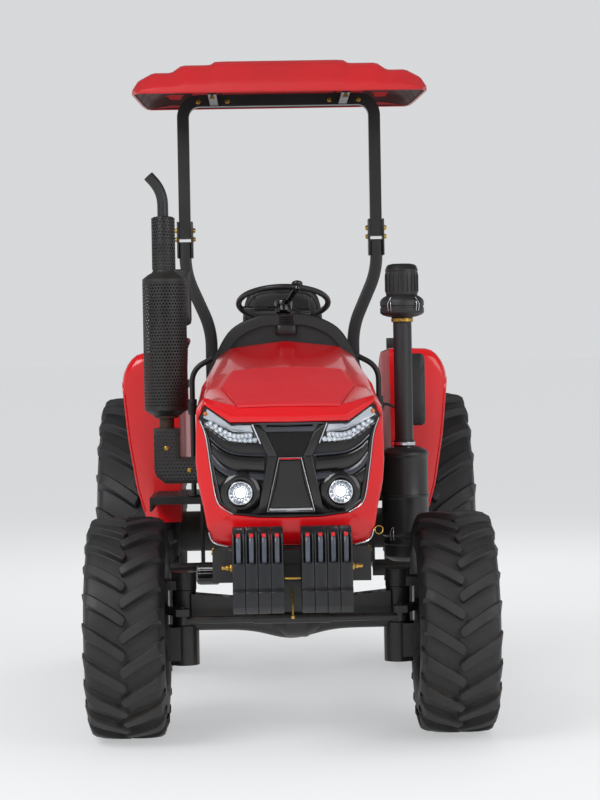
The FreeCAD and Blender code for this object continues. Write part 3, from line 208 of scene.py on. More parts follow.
class Effects:
    """Shader node groups that the finishes share, each built once."""

    def __init__(self) -> None:
        """Builds the groups for mottled colour, settled dust, worn edges and surface grain."""
        self.mottle = self._mottle()
        self.dust = self._dust()
        self.wear = self._wear()
        self.grain = self._grain()

    @staticmethod
    def _mottle() -> bpy.types.NodeTree:
        """Colour that drifts slowly between two shades: smooth noise is the share of the second one.

        Returns:
            The group.
        """
        group = Wiring.group("mottle", {"Base": (0.5, 0.5, 0.5), "Shade": (0.4, 0.4, 0.4), "Scale": 6.0},
                             {"Color": "Color", "Mask": "Float"})
        mask = group.span(group.noise(group.place(), group.inlet["Scale"], 4.0), 0.38, 0.66)
        return group.send(Color=group.blend(mask, group.inlet["Base"], group.inlet["Shade"]), Mask=mask)

    @staticmethod
    def _dust() -> bpy.types.NodeTree:
        """Dust mask: blotchy noise, more on faces that look up and on what is near the ground.

        Returns:
            The group.
        """
        group = Wiring.group("dust", {"Amount": 0.3, "Height": 1.2}, {"Mask": "Float"})
        place = group.place()
        low = group.span(group.node("SeparateXYZ", Vector=place).outputs["Z"], group.inlet["Height"], 0.0)
        facing = group.node("SeparateXYZ", Vector=group.node("NewGeometry").outputs["Normal"])
        above = group.span(facing.outputs["Z"], -0.2, 1.0, To_Min=0.35)
        blot = group.span(group.noise(place, 9.0, 8.0, Roughness=0.7), 0.35, 0.75)
        settled = group.maths("MULTIPLY", group.maths("ADD", low, 0.12), above)
        mask = group.maths("MULTIPLY", group.maths("MULTIPLY", settled, blot), group.inlet["Amount"],
                           use_clamp=True)
        return group.send(Mask=mask)

    @staticmethod
    def _wear() -> bpy.types.NodeTree:
        """Edge mask: where the rounded normal leaves the true one, broken up by noise.

        Returns:
            The group.
        """
        group = Wiring.group("edge wear", {"Radius": 0.004, "Amount": 1.0}, {"Mask": "Float", "Normal": "Vector"})
        soft = group.node("Bevel", samples=4, Radius=group.inlet["Radius"]).outputs[0]
        true = group.node("NewGeometry").outputs["Normal"]
        dot = group.node("VectorMath", operation="DOT_PRODUCT", in0=soft, in1=true).outputs["Value"]
        blot = group.span(group.noise(group.place(), 60.0, 6.0), 0.45, 0.65)
        edge = group.maths("MULTIPLY", group.span(dot, 0.99, 0.8), blot)
        return group.send(Mask=group.maths("MULTIPLY", edge, group.inlet["Amount"]), Normal=soft)

    @staticmethod
    def _grain() -> bpy.types.NodeTree:
        """Height of a fine surface: fractal noise laid over round cells, each by its own share.

        Returns:
            The group.
        """
        group = Wiring.group("grain", {"Scale": 200.0, "Cells": 0.0, "Stretch": 1.0}, {"Height": "Float"})
        squeeze = group.node("CombineXYZ", X=group.inlet["Stretch"], Y=1.0, Z=1.0).outputs[0]
        drawn = group.node("VectorMath", operation="MULTIPLY", in0=group.place(), in1=squeeze).outputs[0]
        noise = group.noise(drawn, group.inlet["Scale"], 5.0)
        cells = group.node("TexVoronoi", Vector=drawn, Scale=group.inlet["Scale"]).outputs["Distance"]
        mix = group.node("Mix", data_type="FLOAT", Factor=group.inlet["Cells"], in2=noise, in3=cells)
        return group.send(Height=mix.outputs[0])


@dataclass(frozen=True)
class Finish:
    """One surface finish and how it becomes a material."""

    name: str
    slot: str
    colour: Colour
    shade: Colour
    roughness: float = 0.5
    metallic: float = 0.0
    coat: float = 0.0
    grain: Grain = Grain.SMOOTH
    scale: float = 220.0
    bump: float = 0.05
    depth: float = 0.0006
    dust: float = 0.4
    dust_height: float = 1.3
    wear: float = 0.0
    bare: Colour = (0.35, 0.34, 0.33)
    edge: float = 0.003
    mottle: float = 5.0
    glow: float = 0.0
    clear: float = 0.0
    ior: float = 1.5

    def material(self, effects: Effects) -> bpy.types.Material:
        """Builds the material: mottled colour, then worn edges, then dust, over a grained surface.

        Args:
            effects: The shared node groups.

        Returns:
            The material.
        """
        material = bpy.data.materials.new(self.name)
        material.use_nodes = True
        tree = Wiring(material.node_tree)
        colour = tree.node("Group", node_tree=effects.mottle, Base=(*self.colour, 1.0), Shade=(*self.shade, 1.0),
                           Scale=self.mottle)
        wear = tree.node("Group", node_tree=effects.wear, Radius=self.edge, Amount=self.wear)
        dust = tree.node("Group", node_tree=effects.dust, Amount=self.dust, Height=self.dust_height)
        grain = tree.node("Group", node_tree=effects.grain, Scale=self.scale,
                          Cells={Grain.PEBBLE: PEBBLE_CELLS, Grain.RUBBER: RUBBER_CELLS}.get(self.grain, 0.0),
                          Stretch=BRUSHED_STRETCH if self.grain is Grain.BRUSHED else 1.0)
        worn = tree.blend(wear.outputs["Mask"], colour.outputs["Color"], (*self.bare, 1.0))
        dusty = tree.blend(dust.outputs["Mask"], worn, (*DUST, 1.0))
        rough = tree.node("MapRange", Value=colour.outputs["Mask"], To_Min=self.roughness * SMOOTHER,
                          To_Max=min(self.roughness * ROUGHER, 1.0)).outputs[0]
        dull = tree.maths("ADD", rough, dust.outputs["Mask"], use_clamp=True)
        bump = tree.node("Bump", Strength=self.bump, Distance=self.depth, Height=grain.outputs["Height"],
                         Normal=wear.outputs["Normal"]).outputs[0]
        shader = tree.node("BsdfPrincipled", Base_Color=dusty, Roughness=dull, Normal=bump, Metallic=self.metallic,
                           Coat_Weight=self.coat, Coat_Roughness=COAT_ROUGHNESS, IOR=self.ior,
                           Transmission_Weight=self.clear)
        if self.glow:
            shader.inputs["Emission Color"].default_value = (*self.colour, 1.0)
            shader.inputs["Emission Strength"].default_value = self.glow
        tree.node("OutputMaterial", Surface=shader.outputs[0])
        return material


DUST = linear(150, 132, 104)
RED = Finish("red paint", "red_paint", linear(208, 6, 16), linear(192, 4, 13), 0.22, coat=0.35, bump=0.02,
             scale=420.0, dust=0.04, mottle=1.5, edge=0.004)
CANOPY_RED = Finish("canopy red", "canopy_red", linear(190, 20, 28), linear(176, 12, 20), 0.4, coat=0.2, bump=0.03,
                    scale=300.0, dust=0.04, mottle=2.0)
# Dark copy of the canopy's red, laid under the roof as painted shade
CANOPY_PAINTED_SHADE = Finish("canopy lining", "canopy_red", linear(70, 14, 16), linear(58, 11, 13), 0.6, bump=0.1,
                       scale=160.0, dust=0.05)
BLACK_PAINT = Finish("black paint", "black_paint", linear(19, 19, 21), linear(26, 26, 28), 0.42, coat=0.12,
                     grain=Grain.CAST, bump=0.06, scale=260.0, dust=0.15, wear=0.12, edge=0.002)
WEIGHT_BLUE = Finish("weight paint", "weight_grey", linear(24, 26, 31), linear(17, 18, 21), 0.4,
                     grain=Grain.CAST, bump=0.25, scale=140.0, dust=0.06, wear=0.15, mottle=3.0)
CASTING = Finish("casting paint", "engine_grey", linear(46, 47, 50), linear(34, 35, 37), 0.55, grain=Grain.CAST,
                 bump=0.35, scale=110.0, dust=0.9, wear=0.2)
PLASTIC = Finish("black plastic", "black_plastic", linear(23, 23, 25), linear(30, 30, 33), 0.42, grain=Grain.PEBBLE,
                 bump=0.12, scale=520.0, dust=0.15)
GLOSS_PLASTIC = Finish("gloss plastic", "black_plastic", linear(12, 12, 14), linear(18, 18, 20), 0.2, coat=0.3,
                       bump=0.02, dust=0.1)
CHROME = Finish("chrome", "chrome_trim", linear(214, 216, 220), linear(196, 198, 204), 0.12, metallic=1.0, bump=0.01,
                dust=0.1)
STEEL = Finish("link steel", "link_steel", linear(118, 116, 112), linear(84, 82, 80), 0.38, metallic=0.85,
               grain=Grain.BRUSHED, bump=0.12, scale=300.0, dust=0.5)
ZINC = Finish("yellow zinc", "link_steel", linear(206, 168, 84), linear(178, 138, 62), 0.3, metallic=0.9, bump=0.04,
              dust=0.2)
SATIN_RED = Finish("satin red", "red_paint", linear(198, 26, 36), linear(190, 20, 30), 0.46, bump=0.02,
                   scale=420.0, dust=0.04, mottle=1.5)
RIM = Finish("rim paint", "rim_paint", linear(196, 198, 200), linear(176, 178, 182), 0.36, coat=0.3, bump=0.05,
             scale=180.0, dust=0.8, dust_height=1.1, wear=0.1)
RUBBER = Finish("tyre rubber", "tyre_rubber", linear(25, 25, 28), linear(35, 35, 37), 0.55, grain=Grain.RUBBER,
                bump=0.25, scale=240.0, dust=0.14, dust_height=0.9, wear=0.3, bare=linear(66, 66, 68), edge=0.005)
VINYL = Finish("seat vinyl", "seat_vinyl", linear(27, 27, 29), linear(36, 36, 38), 0.48, grain=Grain.PEBBLE, bump=0.3,
               scale=330.0, dust=0.1)
LENS = Finish("tail lens", "tail_lens", linear(196, 16, 18), linear(170, 10, 14), 0.12, coat=1.0, dust=0.1, clear=0.3)
AMBER = Finish("amber lens", "lamp_glass", linear(232, 128, 26), linear(214, 110, 20), 0.12, coat=1.0, dust=0.05)
GLASS = Finish("lamp glass", "lamp_glass", (0.93, 0.95, 0.97), (0.9, 0.92, 0.95), 0.03, bump=0.0, dust=0.04,
               clear=1.0, ior=1.25)
GRILLE_BLACK = Finish("grille black", "black_plastic", linear(14, 14, 15), linear(20, 20, 22), 0.38,
                      grain=Grain.PEBBLE, bump=0.08, scale=600.0, dust=0.08)
LOUVRE = Finish("louvre satin", "black_plastic", linear(48, 50, 60), linear(36, 38, 46), 0.26, coat=0.4, bump=0.03,
                scale=300.0, dust=0.08)
REFLECTOR = Finish("lamp reflector", "chrome_trim", linear(238, 240, 243), linear(220, 223, 228), 0.16, metallic=0.72,
                   bump=0.02, dust=0.02)
LENS_CORE = Finish("lens core", "lamp_glass", linear(240, 242, 246), linear(222, 226, 232), 0.08, coat=1.0, glow=0.35,
                   dust=0.0)
# Lighter blue-grey copy of the weights' paint: painted highlight on the grips; its pale worn edges are partly real
# wear and partly painted highlight
WEIGHT_GRIP_HIGHLIGHT = Finish("weight grip paint", "weight_grey", linear(74, 82, 98), linear(52, 58, 70), 0.34, coat=0.3,
                     grain=Grain.CAST, bump=0.12, scale=200.0, dust=0.15, wear=0.5, bare=linear(120, 126, 138))
SOOTY_BLACK = Finish("heat black", "black_paint", linear(20, 20, 21), linear(30, 29, 28), 0.46, grain=Grain.CAST,
                     bump=0.08, scale=220.0, dust=0.2, wear=0.2, edge=0.002)
COVER_BLACK = Finish("cover black", "black_paint", linear(38, 38, 40), linear(28, 28, 30), 0.3, coat=0.3, bump=0.04,
                     scale=260.0, dust=0.15)
RUSTY = Finish("heated pipe", "link_steel", linear(86, 72, 62), linear(66, 50, 42), 0.55, metallic=0.5,
               grain=Grain.CAST, bump=0.3, scale=130.0, dust=0.4)
KNOB_RED = Finish("knob plastic", "black_plastic", linear(112, 18, 28), linear(92, 12, 20), 0.28, coat=0.5, bump=0.02,
                  dust=0.05)
MIRROR = Finish("mirror glass", "chrome_trim", linear(200, 206, 212), linear(190, 198, 206), 0.03, metallic=1.0,
                bump=0.0, dust=0.05)
LIT = Finish("lit reflector", "lamp_glass", (1.0, 1.0, 1.0), (0.95, 0.97, 1.0), 0.3, glow=2.2, dust=0.0)


@dataclass
class Shop:
    """Holds the frame and the materials, and gives the frame's nodes their materials."""

    frame: dict
    effects: Effects
    made: dict[str, bpy.types.Material] = field(default_factory=dict)

    def material(self, finish: Finish) -> bpy.types.Material:
        """The material of a finish, built at its first use.

        Args:
            finish: The finish.

        Returns:
            Its material.
        """
        if finish.name not in self.made:
            self.made[finish.name] = finish.material(self.effects)
        return self.made[finish.name]

    def paint(self, node: str, finish: Finish) -> None:
        """Gives a node of the frame its material.

        Args:
            node: The node.
            finish: Its finish.
        """
        for slot in self.frame["nodes"][node].material_slots:
            slot.material = self.material(finish)


def turns(count: int) -> Points:
    """Even angles of a whole turn."""
    return np.arange(count) * TURN / count


def circle(steps: int) -> Points:
    """Points of a circle whose radius is one, as rows."""
    return np.stack([np.cos(turns(steps)), np.sin(turns(steps))], 1)


@dataclass
class Shape:
    """Surfaces gathered into one mesh, in millimetres."""

    points: list[Points] = field(default_factory=list)
    faces: list[list[int]] = field(default_factory=list)
    count: int = 0

    def grid(self, surface: Points, around: bool = False, along: bool = False, caps: bool = False) -> "Shape":
        """Adds a surface given as rows of points.

        Args:
            surface: Points as an array of (rows, columns, 3).
            around: Whether each row closes on itself.
            along: Whether the last row meets the first.
            caps: Whether the first and last rows are filled.

        Returns:
            The shape itself.
        """
        rows, columns, _ = surface.shape
        index = np.arange(rows * columns).reshape(rows, columns) + self.count
        row = np.arange(rows if along else rows - 1)
        column = np.arange(columns if around else columns - 1)
        next_row, next_column = (row + 1) % rows, (column + 1) % columns
        quads = np.stack([index[row][:, column], index[row][:, next_column], index[next_row][:, next_column],
                          index[next_row][:, column]], -1)
        self.faces += quads.reshape(-1, 4).tolist()
        if caps:
            self.faces += [index[0].tolist(), index[-1].tolist()]
        self.points.append(surface.reshape(-1, 3))
        self.count += rows * columns
        return self

    def turn(self, profile: Points, axis: Axis, centre: tuple[float, float, float], steps: int = 32,
             loop: bool = False) -> "Shape":
        """Adds a profile turned round an axis.

        Args:
            profile: Pairs of the place along the axis and the radius.
            axis: The axis' direction.
            centre: A point that it runs through.
            steps: Points round it.
            loop: Whether the profile closes on itself.

        Returns:
            The shape itself.
        """
        angle = turns(steps)
        profile = np.asarray(profile, float)
        surface = np.zeros((len(profile), steps, 3))
        first, second = [(1, 2), (2, 0), (0, 1)][axis.value]
        surface[..., axis.value] = profile[:, :1]
        surface[..., first] = profile[:, 1:] * np.cos(angle)
        surface[..., second] = profile[:, 1:] * np.sin(angle)
        return self.grid(surface + np.array(centre), around=True, along=loop)

    def push(self, outline: Points, axis: Axis, start: float, end: float) -> "Shape":
        """Adds an outline pushed along an axis.

        Args:
            outline: Pairs of the two other coordinates, in the order X, Y, Z.
            axis: The axis.
            start: Where the outline starts on it.
            end: Where it ends.

        Returns:
            The shape itself.
        """
        outline = np.asarray(outline, float)
        others = [value for value in range(3) if value != axis.value]
        surface = np.zeros((2, len(outline), 3))
        surface[..., others] = outline
        surface[..., axis.value] = [[start], [end]]
        return self.grid(surface, around=True, caps=True)

    def mesh(self, points: Points, faces: list[list[int]]) -> "Shape":
        """Adds a ready mesh.

        Args:
            points: Its points as rows.
            faces: Its faces, as numbers of those points.

        Returns:
            The shape itself.
        """
        self.points.append(points)
        self.faces += [[corner + self.count for corner in face] for face in faces]
        self.count += len(points)
        return self

    def block(self, low: tuple[float, float, float], high: tuple[float, float, float]) -> "Shape":
        """Adds a block between two corners; its edges are rounded when the piece is made."""
        outline = [(low[0], low[1]), (high[0], low[1]), (high[0], high[1]), (low[0], high[1])]
        return self.push(outline, Axis.Z, low[2], high[2])

    def tube(self, path: Points, radius: float, sides: int = 16, up: tuple[float, float, float] = (0.013, 0.017, 1.0),
             ring: bool = False, section: Points | None = None) -> "Shape":
        """Adds a section carried along a path.

        Each point is the path point plus the section's two coordinates along the side vector (the path's
        direction crossed with a fixed up vector) and the vector square to both.

        Args:
            path: Points of the centre line.
            radius: Radius of a round section.
            sides: Sides of a round section.
            up: Vector that is never along the path.
            ring: Whether the path closes on itself.
            section: Outline used in place of the round one.

        Returns:
            The shape itself.
        """
        path = np.asarray(path, float)
        ahead = np.roll(path, -1, 0) - np.roll(path, 1, 0)
        if not ring:
            ahead[0], ahead[-1] = path[1] - path[0], path[-1] - path[-2]
        ahead /= np.linalg.norm(ahead, axis=1, keepdims=True)
        side = np.cross(ahead, np.array(up))
        side /= np.linalg.norm(side, axis=1, keepdims=True)
        over = np.cross(side, ahead)
        section = radius * circle(sides) if section is None else np.asarray(section, float)
        surface = path[:, None] + side[:, None] * section[:, :1] + over[:, None] * section[:, 1:]
        return self.grid(surface, around=True, along=ring, caps=not ring)

    def mirrored(self) -> "Shape":
        """Adds the same surfaces on the tractor's other side.

        Returns:
            The shape itself.
        """
        count = self.count
        flipped = [points * np.array([-1.0, 1.0, 1.0]) for points in self.points]
        self.points += flipped
        self.faces += [[corner + count for corner in reversed(face)] for face in self.faces]
        self.count *= 2
        return self


@dataclass(kw_only=True)
class Part:
    """A sub-assembly: the shop that finishes its pieces and the body that carries them."""

    shop: Shop
    body: str = "chassis"

    def add(self, name: str, finish: Finish, shape: Shape, *replaced: str, body: str = "", bevel: float = 0.0,
            steps: int = 2, wall: float = 0.0, angle: float = 34.0, outward: bool = True) -> bpy.types.Object:
        """Makes a piece, finishes its edges and puts it on its body.

        Args:
            name: The piece's name.
            finish: Its finish.
            shape: Its surfaces.
            replaced: Nodes of the frame that it stands for.
            body: The body that it rides on, where that isn't the part's own.
            bevel: Width of the rounded edges in millimetres.
            steps: Faces across a rounded edge.
            wall: Thickness given to an open surface.
            angle: Edges sharper than this stay sharp, in degrees.
            outward: Whether closed surfaces have their normals worked out again.

        Returns:
            The piece.
        """
        mesh = bpy.data.meshes.new(name)
        mesh.from_pydata((np.concatenate(shape.points) * MM).tolist(), [], shape.faces)
        work = bmesh.new()
        work.from_mesh(mesh)
        bmesh.ops.remove_doubles(work, verts=work.verts, dist=MERGED)
        if outward:
            bmesh.ops.recalc_face_normals(work, faces=work.faces)
        work.to_mesh(mesh)
        work.free()
        piece = bpy.data.objects.new(name, mesh)
        bpy.context.scene.collection.objects.link(piece)
        if wall:
            sheet = piece.modifiers.new("wall", "SOLIDIFY")
            sheet.thickness, sheet.offset = wall * MM, -1.0
        if bevel:
            edge = piece.modifiers.new("edges", "BEVEL")
            edge.width, edge.segments, edge.limit_method = bevel * MM, steps, "ANGLE"
            edge.angle_limit, edge.use_clamp_overlap = math.radians(ROUNDED), True
        if piece.modifiers:
            keep_shape(piece)
            bpy.data.meshes.remove(mesh)
            piece.data.name = name
        piece.data.polygons.foreach_set("use_smooth", np.ones(len(piece.data.polygons), bool))
        piece.data.set_sharp_from_angle(angle=math.radians(angle))
        piece.data.materials.clear()
        piece.data.materials.append(self.shop.material(finish))
        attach(piece, body or self.body)
        if replaced:
            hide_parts(*replaced)
        LOG.info("%s: %d faces on %s", name, len(piece.data.polygons), body or self.body)
        return piece


def keep_shape(piece: bpy.types.Object) -> None:
    """Makes what the modifiers give the piece's own mesh and removes them.

    Args:
        piece: The piece to change.
    """
    graph = bpy.context.evaluated_depsgraph_get()
    graph.update()
    done = bpy.data.meshes.new_from_object(piece.evaluated_get(graph))
    piece.modifiers.clear()
    piece.data = done


def polygon(middle: tuple[float, float], radius: float, sides: int = 6) -> Points:
    """Corners of an even polygon, such as a bolt's head or a washer."""
    return np.array(middle) + radius * circle(sides)


def squared(steps: int, power: float) -> Points:
    """A circle drawn out towards a square: cosine and sine keep their signs and are raised to a power.

    Args:
        steps: Points round it.
        power: One for a circle, less for a squarer line.

    Returns:
        Points as rows.
    """
    return np.sign(circle(steps)) * np.abs(circle(steps)) ** power


def curve_through(points: Points, steps: int) -> Points:
    """A smooth line through points: each span is the cubic whose ends have the slope of their neighbours' chord.

    Args:
        points: Points as rows.
        steps: Points on the line.

    Returns:
        The line's points.
    """
    points = np.asarray(points, float)
    padded = np.concatenate([2 * points[:1] - points[1:2], points, 2 * points[-1:] - points[-2:-1]])
    place = np.linspace(0, len(points) - 1, steps)
    span = np.minimum(place.astype(int), len(points) - 2)
    t = (place - span)[:, None]
    before, start, end, after = (padded[span + shift] for shift in range(4))
    return 0.5 * (2 * start + (end - before) * t + (2 * before - 5 * start + 4 * end - after) * t ** 2
                  + (3 * start - before - 3 * end + after) * t ** 3)


def bent(points: Points, radius: float, steps: int = 6) -> Points:
    """A pipe's centre line: straight runs whose corners are rounded.

    Each corner becomes a quadratic arc between two points that lie the radius before and after it.

    Args:
        points: Corners as rows.
        radius: How far from a corner its arc starts and ends.
        steps: Spans of an arc.

    Returns:
        The line's points.
    """
    points = np.asarray(points, float)
    before = points[:-2] - points[1:-1]
    after = points[2:] - points[1:-1]
    before *= radius / np.linalg.norm(before, axis=1, keepdims=True)
    after *= radius / np.linalg.norm(after, axis=1, keepdims=True)
    t = np.linspace(0, 1, steps + 1)[None, :, None]
    corner = points[1:-1, None]
    arcs = corner + before[:, None] * (1 - t) ** 2 + after[:, None] * t ** 2
    return np.concatenate([points[:1], arcs.reshape(-1, 3), points[-1:]])


@dataclass
class Studio:
    """Plain pale floor, soft lamps and the camera at the photograph's angle."""

    camera_place: tuple[float, float, float] = (-0.084, -10.05, 1.54)
    pitch: float = -1.23
    yaw: float = 0.85
    roll: float = 1.0
    lens: float = 100.8
    pale: Colour = (0.82, 0.83, 0.84)
    lit: Colour = (0.86, 0.87, 0.88)

    def build(self) -> None:
        """Makes the floor, lamps, world and camera."""
        self._floor()
        self._lamps()
        self._world()
        self._camera()
        bpy.context.scene.view_settings.view_transform = "Standard"

    def _floor(self) -> None:
        """A flat floor that looks the same in mirrors and glass."""
        bpy.ops.mesh.primitive_plane_add(size=600.0)
        floor = bpy.context.object
        floor.name = "floor"
        material = bpy.data.materials.new("floor")
        material.use_nodes = True
        tree = Wiring(material.node_tree)
        shaded = tree.node("BsdfPrincipled", Roughness=0.9, Base_Color=(*self.pale, 1.0))
        lit = tree.node("Emission", Strength=1.0, Color=(*self.lit, 1.0))
        mix = tree.node("MixShader", Fac=tree.maths("MULTIPLY", self._seen(tree), 0.5), in1=shaded.outputs[0],
                        in2=lit.outputs[0])
        tree.node("OutputMaterial", Surface=mix.outputs[0])
        floor.data.materials.append(material)

    @staticmethod
    def _lamps() -> None:
        """Three large soft lamps. Columns: name, place, aim, size, power."""
        table = (
            ("key", (-4.5, -6.0, 6.5), (0.0, -0.3, 1.1), 4.5, 420.0),
            ("fill", (5.5, -5.5, 4.0), (0.0, -0.3, 1.1), 5.0, 190.0),
            ("back", (1.5, 6.0, 6.0), (0.0, 0.3, 1.4), 5.0, 200.0),
        )
        for name, place, aim, size, power in table:
            data = bpy.data.lights.new(name, "AREA")
            data.size, data.energy = size, power
            lamp = bpy.data.objects.new(name, data)
            bpy.context.scene.collection.objects.link(lamp)
            lamp.location = place
            lamp.visible_glossy = name != "back"
            ahead = Vector(aim) - Vector(place)
            lamp.rotation_euler = ahead.to_track_quat("-Z", "Y").to_euler()

    @staticmethod
    def _seen(tree: Wiring) -> Socket:
        """One where the camera, a gloss or glass sees a surface, and nought elsewhere.

        Args:
            tree: The wiring that takes the nodes.

        Returns:
            The socket that has the value.
        """
        path = tree.node("LightPath").outputs
        first = tree.maths("MAXIMUM", path["Is Camera Ray"], path["Is Transmission Ray"])
        return tree.maths("MAXIMUM", first, path["Is Glossy Ray"])

    @staticmethod
    def _sky(tree: Wiring, value: Socket, strength: float, *ends: tuple[float, Colour]) -> Socket:
        """A background whose colour follows a value.

        Args:
            tree: The wiring that takes the nodes.
            value: The value.
            strength: The background's strength.
            ends: Two pairs of a value and the colour at it.

        Returns:
            The background's socket.
        """
        ramp = tree.node("ValToRGB", Fac=value)
        for element, (place, colour) in zip(ramp.color_ramp.elements, ends):
            element.position, element.color = place, (*colour, 1.0)
        return tree.node("Background", Color=ramp.outputs[0], Strength=strength).outputs[0]

    def _world(self) -> None:
        """A soft dome for light, and a backdrop, pale at the horizon, for the camera, gloss and glass."""
        world = bpy.data.worlds.new("dome")
        bpy.context.scene.world = world
        world.use_nodes = True
        tree = Wiring(world.node_tree)
        ahead = tree.node("TexCoord").outputs["Generated"]
        height = tree.node("VectorMath", operation="DOT_PRODUCT", in0=ahead, in1=(0.0, -0.55, 1.0))
        soft = self._sky(tree, height.outputs["Value"], 0.8, (0.02, (0.1, 0.11, 0.12)), (0.75, (1.0, 1.0, 1.0)))
        upright = tree.node("SeparateXYZ", Vector=ahead).outputs["Z"]
        pale = self._sky(tree, upright, 1.0, (0.16, (0.68, 0.69, 0.7)), (0.4, (0.16, 0.17, 0.18)))
        mix = tree.node("MixShader", Fac=self._seen(tree), in1=soft, in2=pale)
        tree.node("OutputWorld", Surface=mix.outputs[0])

    def _camera(self) -> None:
        """A long lens at the photograph's place; the turn is yaw, then pitch, then roll about the view line."""
        data = bpy.data.cameras.new("camera")
        data.lens = self.lens
        camera = bpy.data.objects.new("camera", data)
        bpy.context.scene.collection.objects.link(camera)
        camera.location = self.camera_place
        yaw = Matrix.Rotation(math.radians(-self.yaw), 4, "Z")
        pitch = Matrix.Rotation(math.radians(90.0 + self.pitch), 4, "X")
        roll = Matrix.Rotation(math.radians(-self.roll), 4, "Z")
        camera.rotation_euler = (yaw @ pitch @ roll).to_euler()
        bpy.context.scene.camera = camera


@dataclass
class Tyre(Part):
    """A drive tyre: a bulged carcass with long chevron lugs."""

    name: str
    centre: tuple[float, float, float]
    radius: float
    width: float
    rim: float
    lug_height: float
    lugs: int
    thick: float
    groove: float = 2.0
    steps: int = 61

    # Columns: share of the half width, share of the height from rim to crown
    section = ((0.60, -0.04), (0.70, 0.02), (0.86, 0.13), (0.97, 0.32), (1.0, 0.5), (0.985, 0.68), (0.93, 0.85),
               (0.84, 0.955), (0.6, 0.988), (0.3, 0.997), (0.0, 1.0))

    def carcass(self, across: Points) -> Points:
        """Radius of the carcass on the tread side of its widest place.

        Args:
            across: Shares of the half width.

        Returns:
            The radius at each.
        """
        table = np.array(self.section[4:])[::-1]
        share = np.interp(np.abs(across), table[:, 0], table[:, 1])
        return self.rim + (self.crown - self.rim) * share

    @property
    def crown(self) -> float:
        """Radius of the carcass at its middle line."""
        return self.radius - self.lug_height

    def build(self) -> None:
        """Makes the tyre and its sidewall rings."""
        half = np.array(self.section)
        whole = np.concatenate([half, half[-2::-1] * np.array([-1.0, 1.0])])
        line = curve_through(whole, self.steps)
        profile = np.stack([line[:, 0] * self.width * 0.5, self.rim + (self.crown - self.rim) * line[:, 1]], 1)
        wave = np.abs(np.sin(np.linspace(0, 1, self.steps) * TURN))
        ringed = profile - np.stack([np.sign(profile[:, 0]) * self.groove * (wave > 0.93), 0 * wave], 1)
        inner = np.stack([profile[::-1, 0] * 0.86, np.maximum(profile[::-1, 1] - 16.0, self.rim - 9.0)], 1)
        shape = Shape().turn(np.concatenate([ringed, inner]), Axis.X, self.centre, 96, loop=True)
        self._tread(shape)
        self.add(self.name, RUBBER, shape, self.name, angle=30.0)

    def _tread(self, shape: Shape) -> None:
        """Adds the lugs.

        A lug's centre line runs from just across the middle to past the shoulder. Its distance from the middle
        grows with s, it turns back by its share of a pitch times s to a power below one, and its top follows
        the carcass at the lug's height, which falls away down the sidewall. Its section is a flat top with
        sloping flanks, narrower at the blunt inner end.

        Args:
            shape: The shape that takes them.
        """
        s = np.array([0.0, 0.05, 0.2, 0.4, 0.6, 0.8, 0.9, 0.96, 1.0, 1.04])
        across = np.interp(s, [0, 0.96, 1.04], [-0.05, 0.93, 0.985])
        height = np.interp(s, [0, 0.05, 0.9, 0.96, 1.04], [0.8, 1.0, 1.0, 0.92, 0.12]) * self.lug_height
        pitch = TURN / self.lugs
        turn = pitch * 0.78 * np.clip(s, 0, 1) ** 0.9
        base = self.carcass(across)
        flat = across * self.width * 0.5
        slope = np.gradient(turn * base) / np.gradient(flat)
        lean = np.sqrt(1 + slope ** 2)
        # Columns: place across the lug in half thicknesses, share of the height
        profile = np.array([(-1.5, -0.25), (-1.32, 0.0), (-1.0, 0.9), (-0.84, 1.0), (0.84, 1.0), (1.0, 0.9),
                            (1.32, 0.0), (1.5, -0.25)])
        spread = profile[:, 0] * self.thick * 0.5
        widen = np.interp(s, [0, 0.05, 0.2, 0.9, 1.04], [0.7, 0.95, 1.0, 1.1, 1.2])[:, None]
        sideways = flat[:, None] - (slope / lean)[:, None] * spread * widen * 0.6
        sideways = np.clip(sideways, -14.0, self.width * 0.5 - 0.2)
        radius = base[:, None] + np.where(profile[:, 1] < 0, -6.0, profile[:, 1] * height[:, None])
        radius = np.minimum(radius, self.radius - 0.2)
        angle = -turn[:, None] - (1 / lean)[:, None] * spread * widen / base[:, None]
        for side in SIDES:
            offset = 0.0 if side > 0 else pitch * 0.5
            for number in range(self.lugs):
                place = offset + number * pitch + angle
                surface = np.stack([side * sideways, radius * np.sin(-place), radius * np.cos(place)], -1)
                shape.grid(surface + np.array(self.centre), around=True, caps=True)


def tyres(shop: Shop) -> list[Tyre]:
    """The four tyres.

    Args:
        shop: The shop that finishes them.

    Returns:
        Front and rear ones, the right before the left.
    """
    # Columns: the node's first word; centre x, y, z; radius, width, rim, lug height, lugs, lug thickness
    table = (
        ("front", 655.0, -1050.0, 445.0, 445.0, 318.0, 222.0, 27.0, 20, 41.0),
        ("rear", 700.0, 1000.0, 665.0, 665.0, 390.0, 355.0, 36.0, 22, 54.0),
    )
    return [Tyre(f"{word}_tyre_{name}", (side * x, y, z), *sizes, shop=shop, body=f"{word}_wheel_{name}")
            for word, x, y, z, *sizes in table for side, name in zip(SIDES, ("right", "left"))]


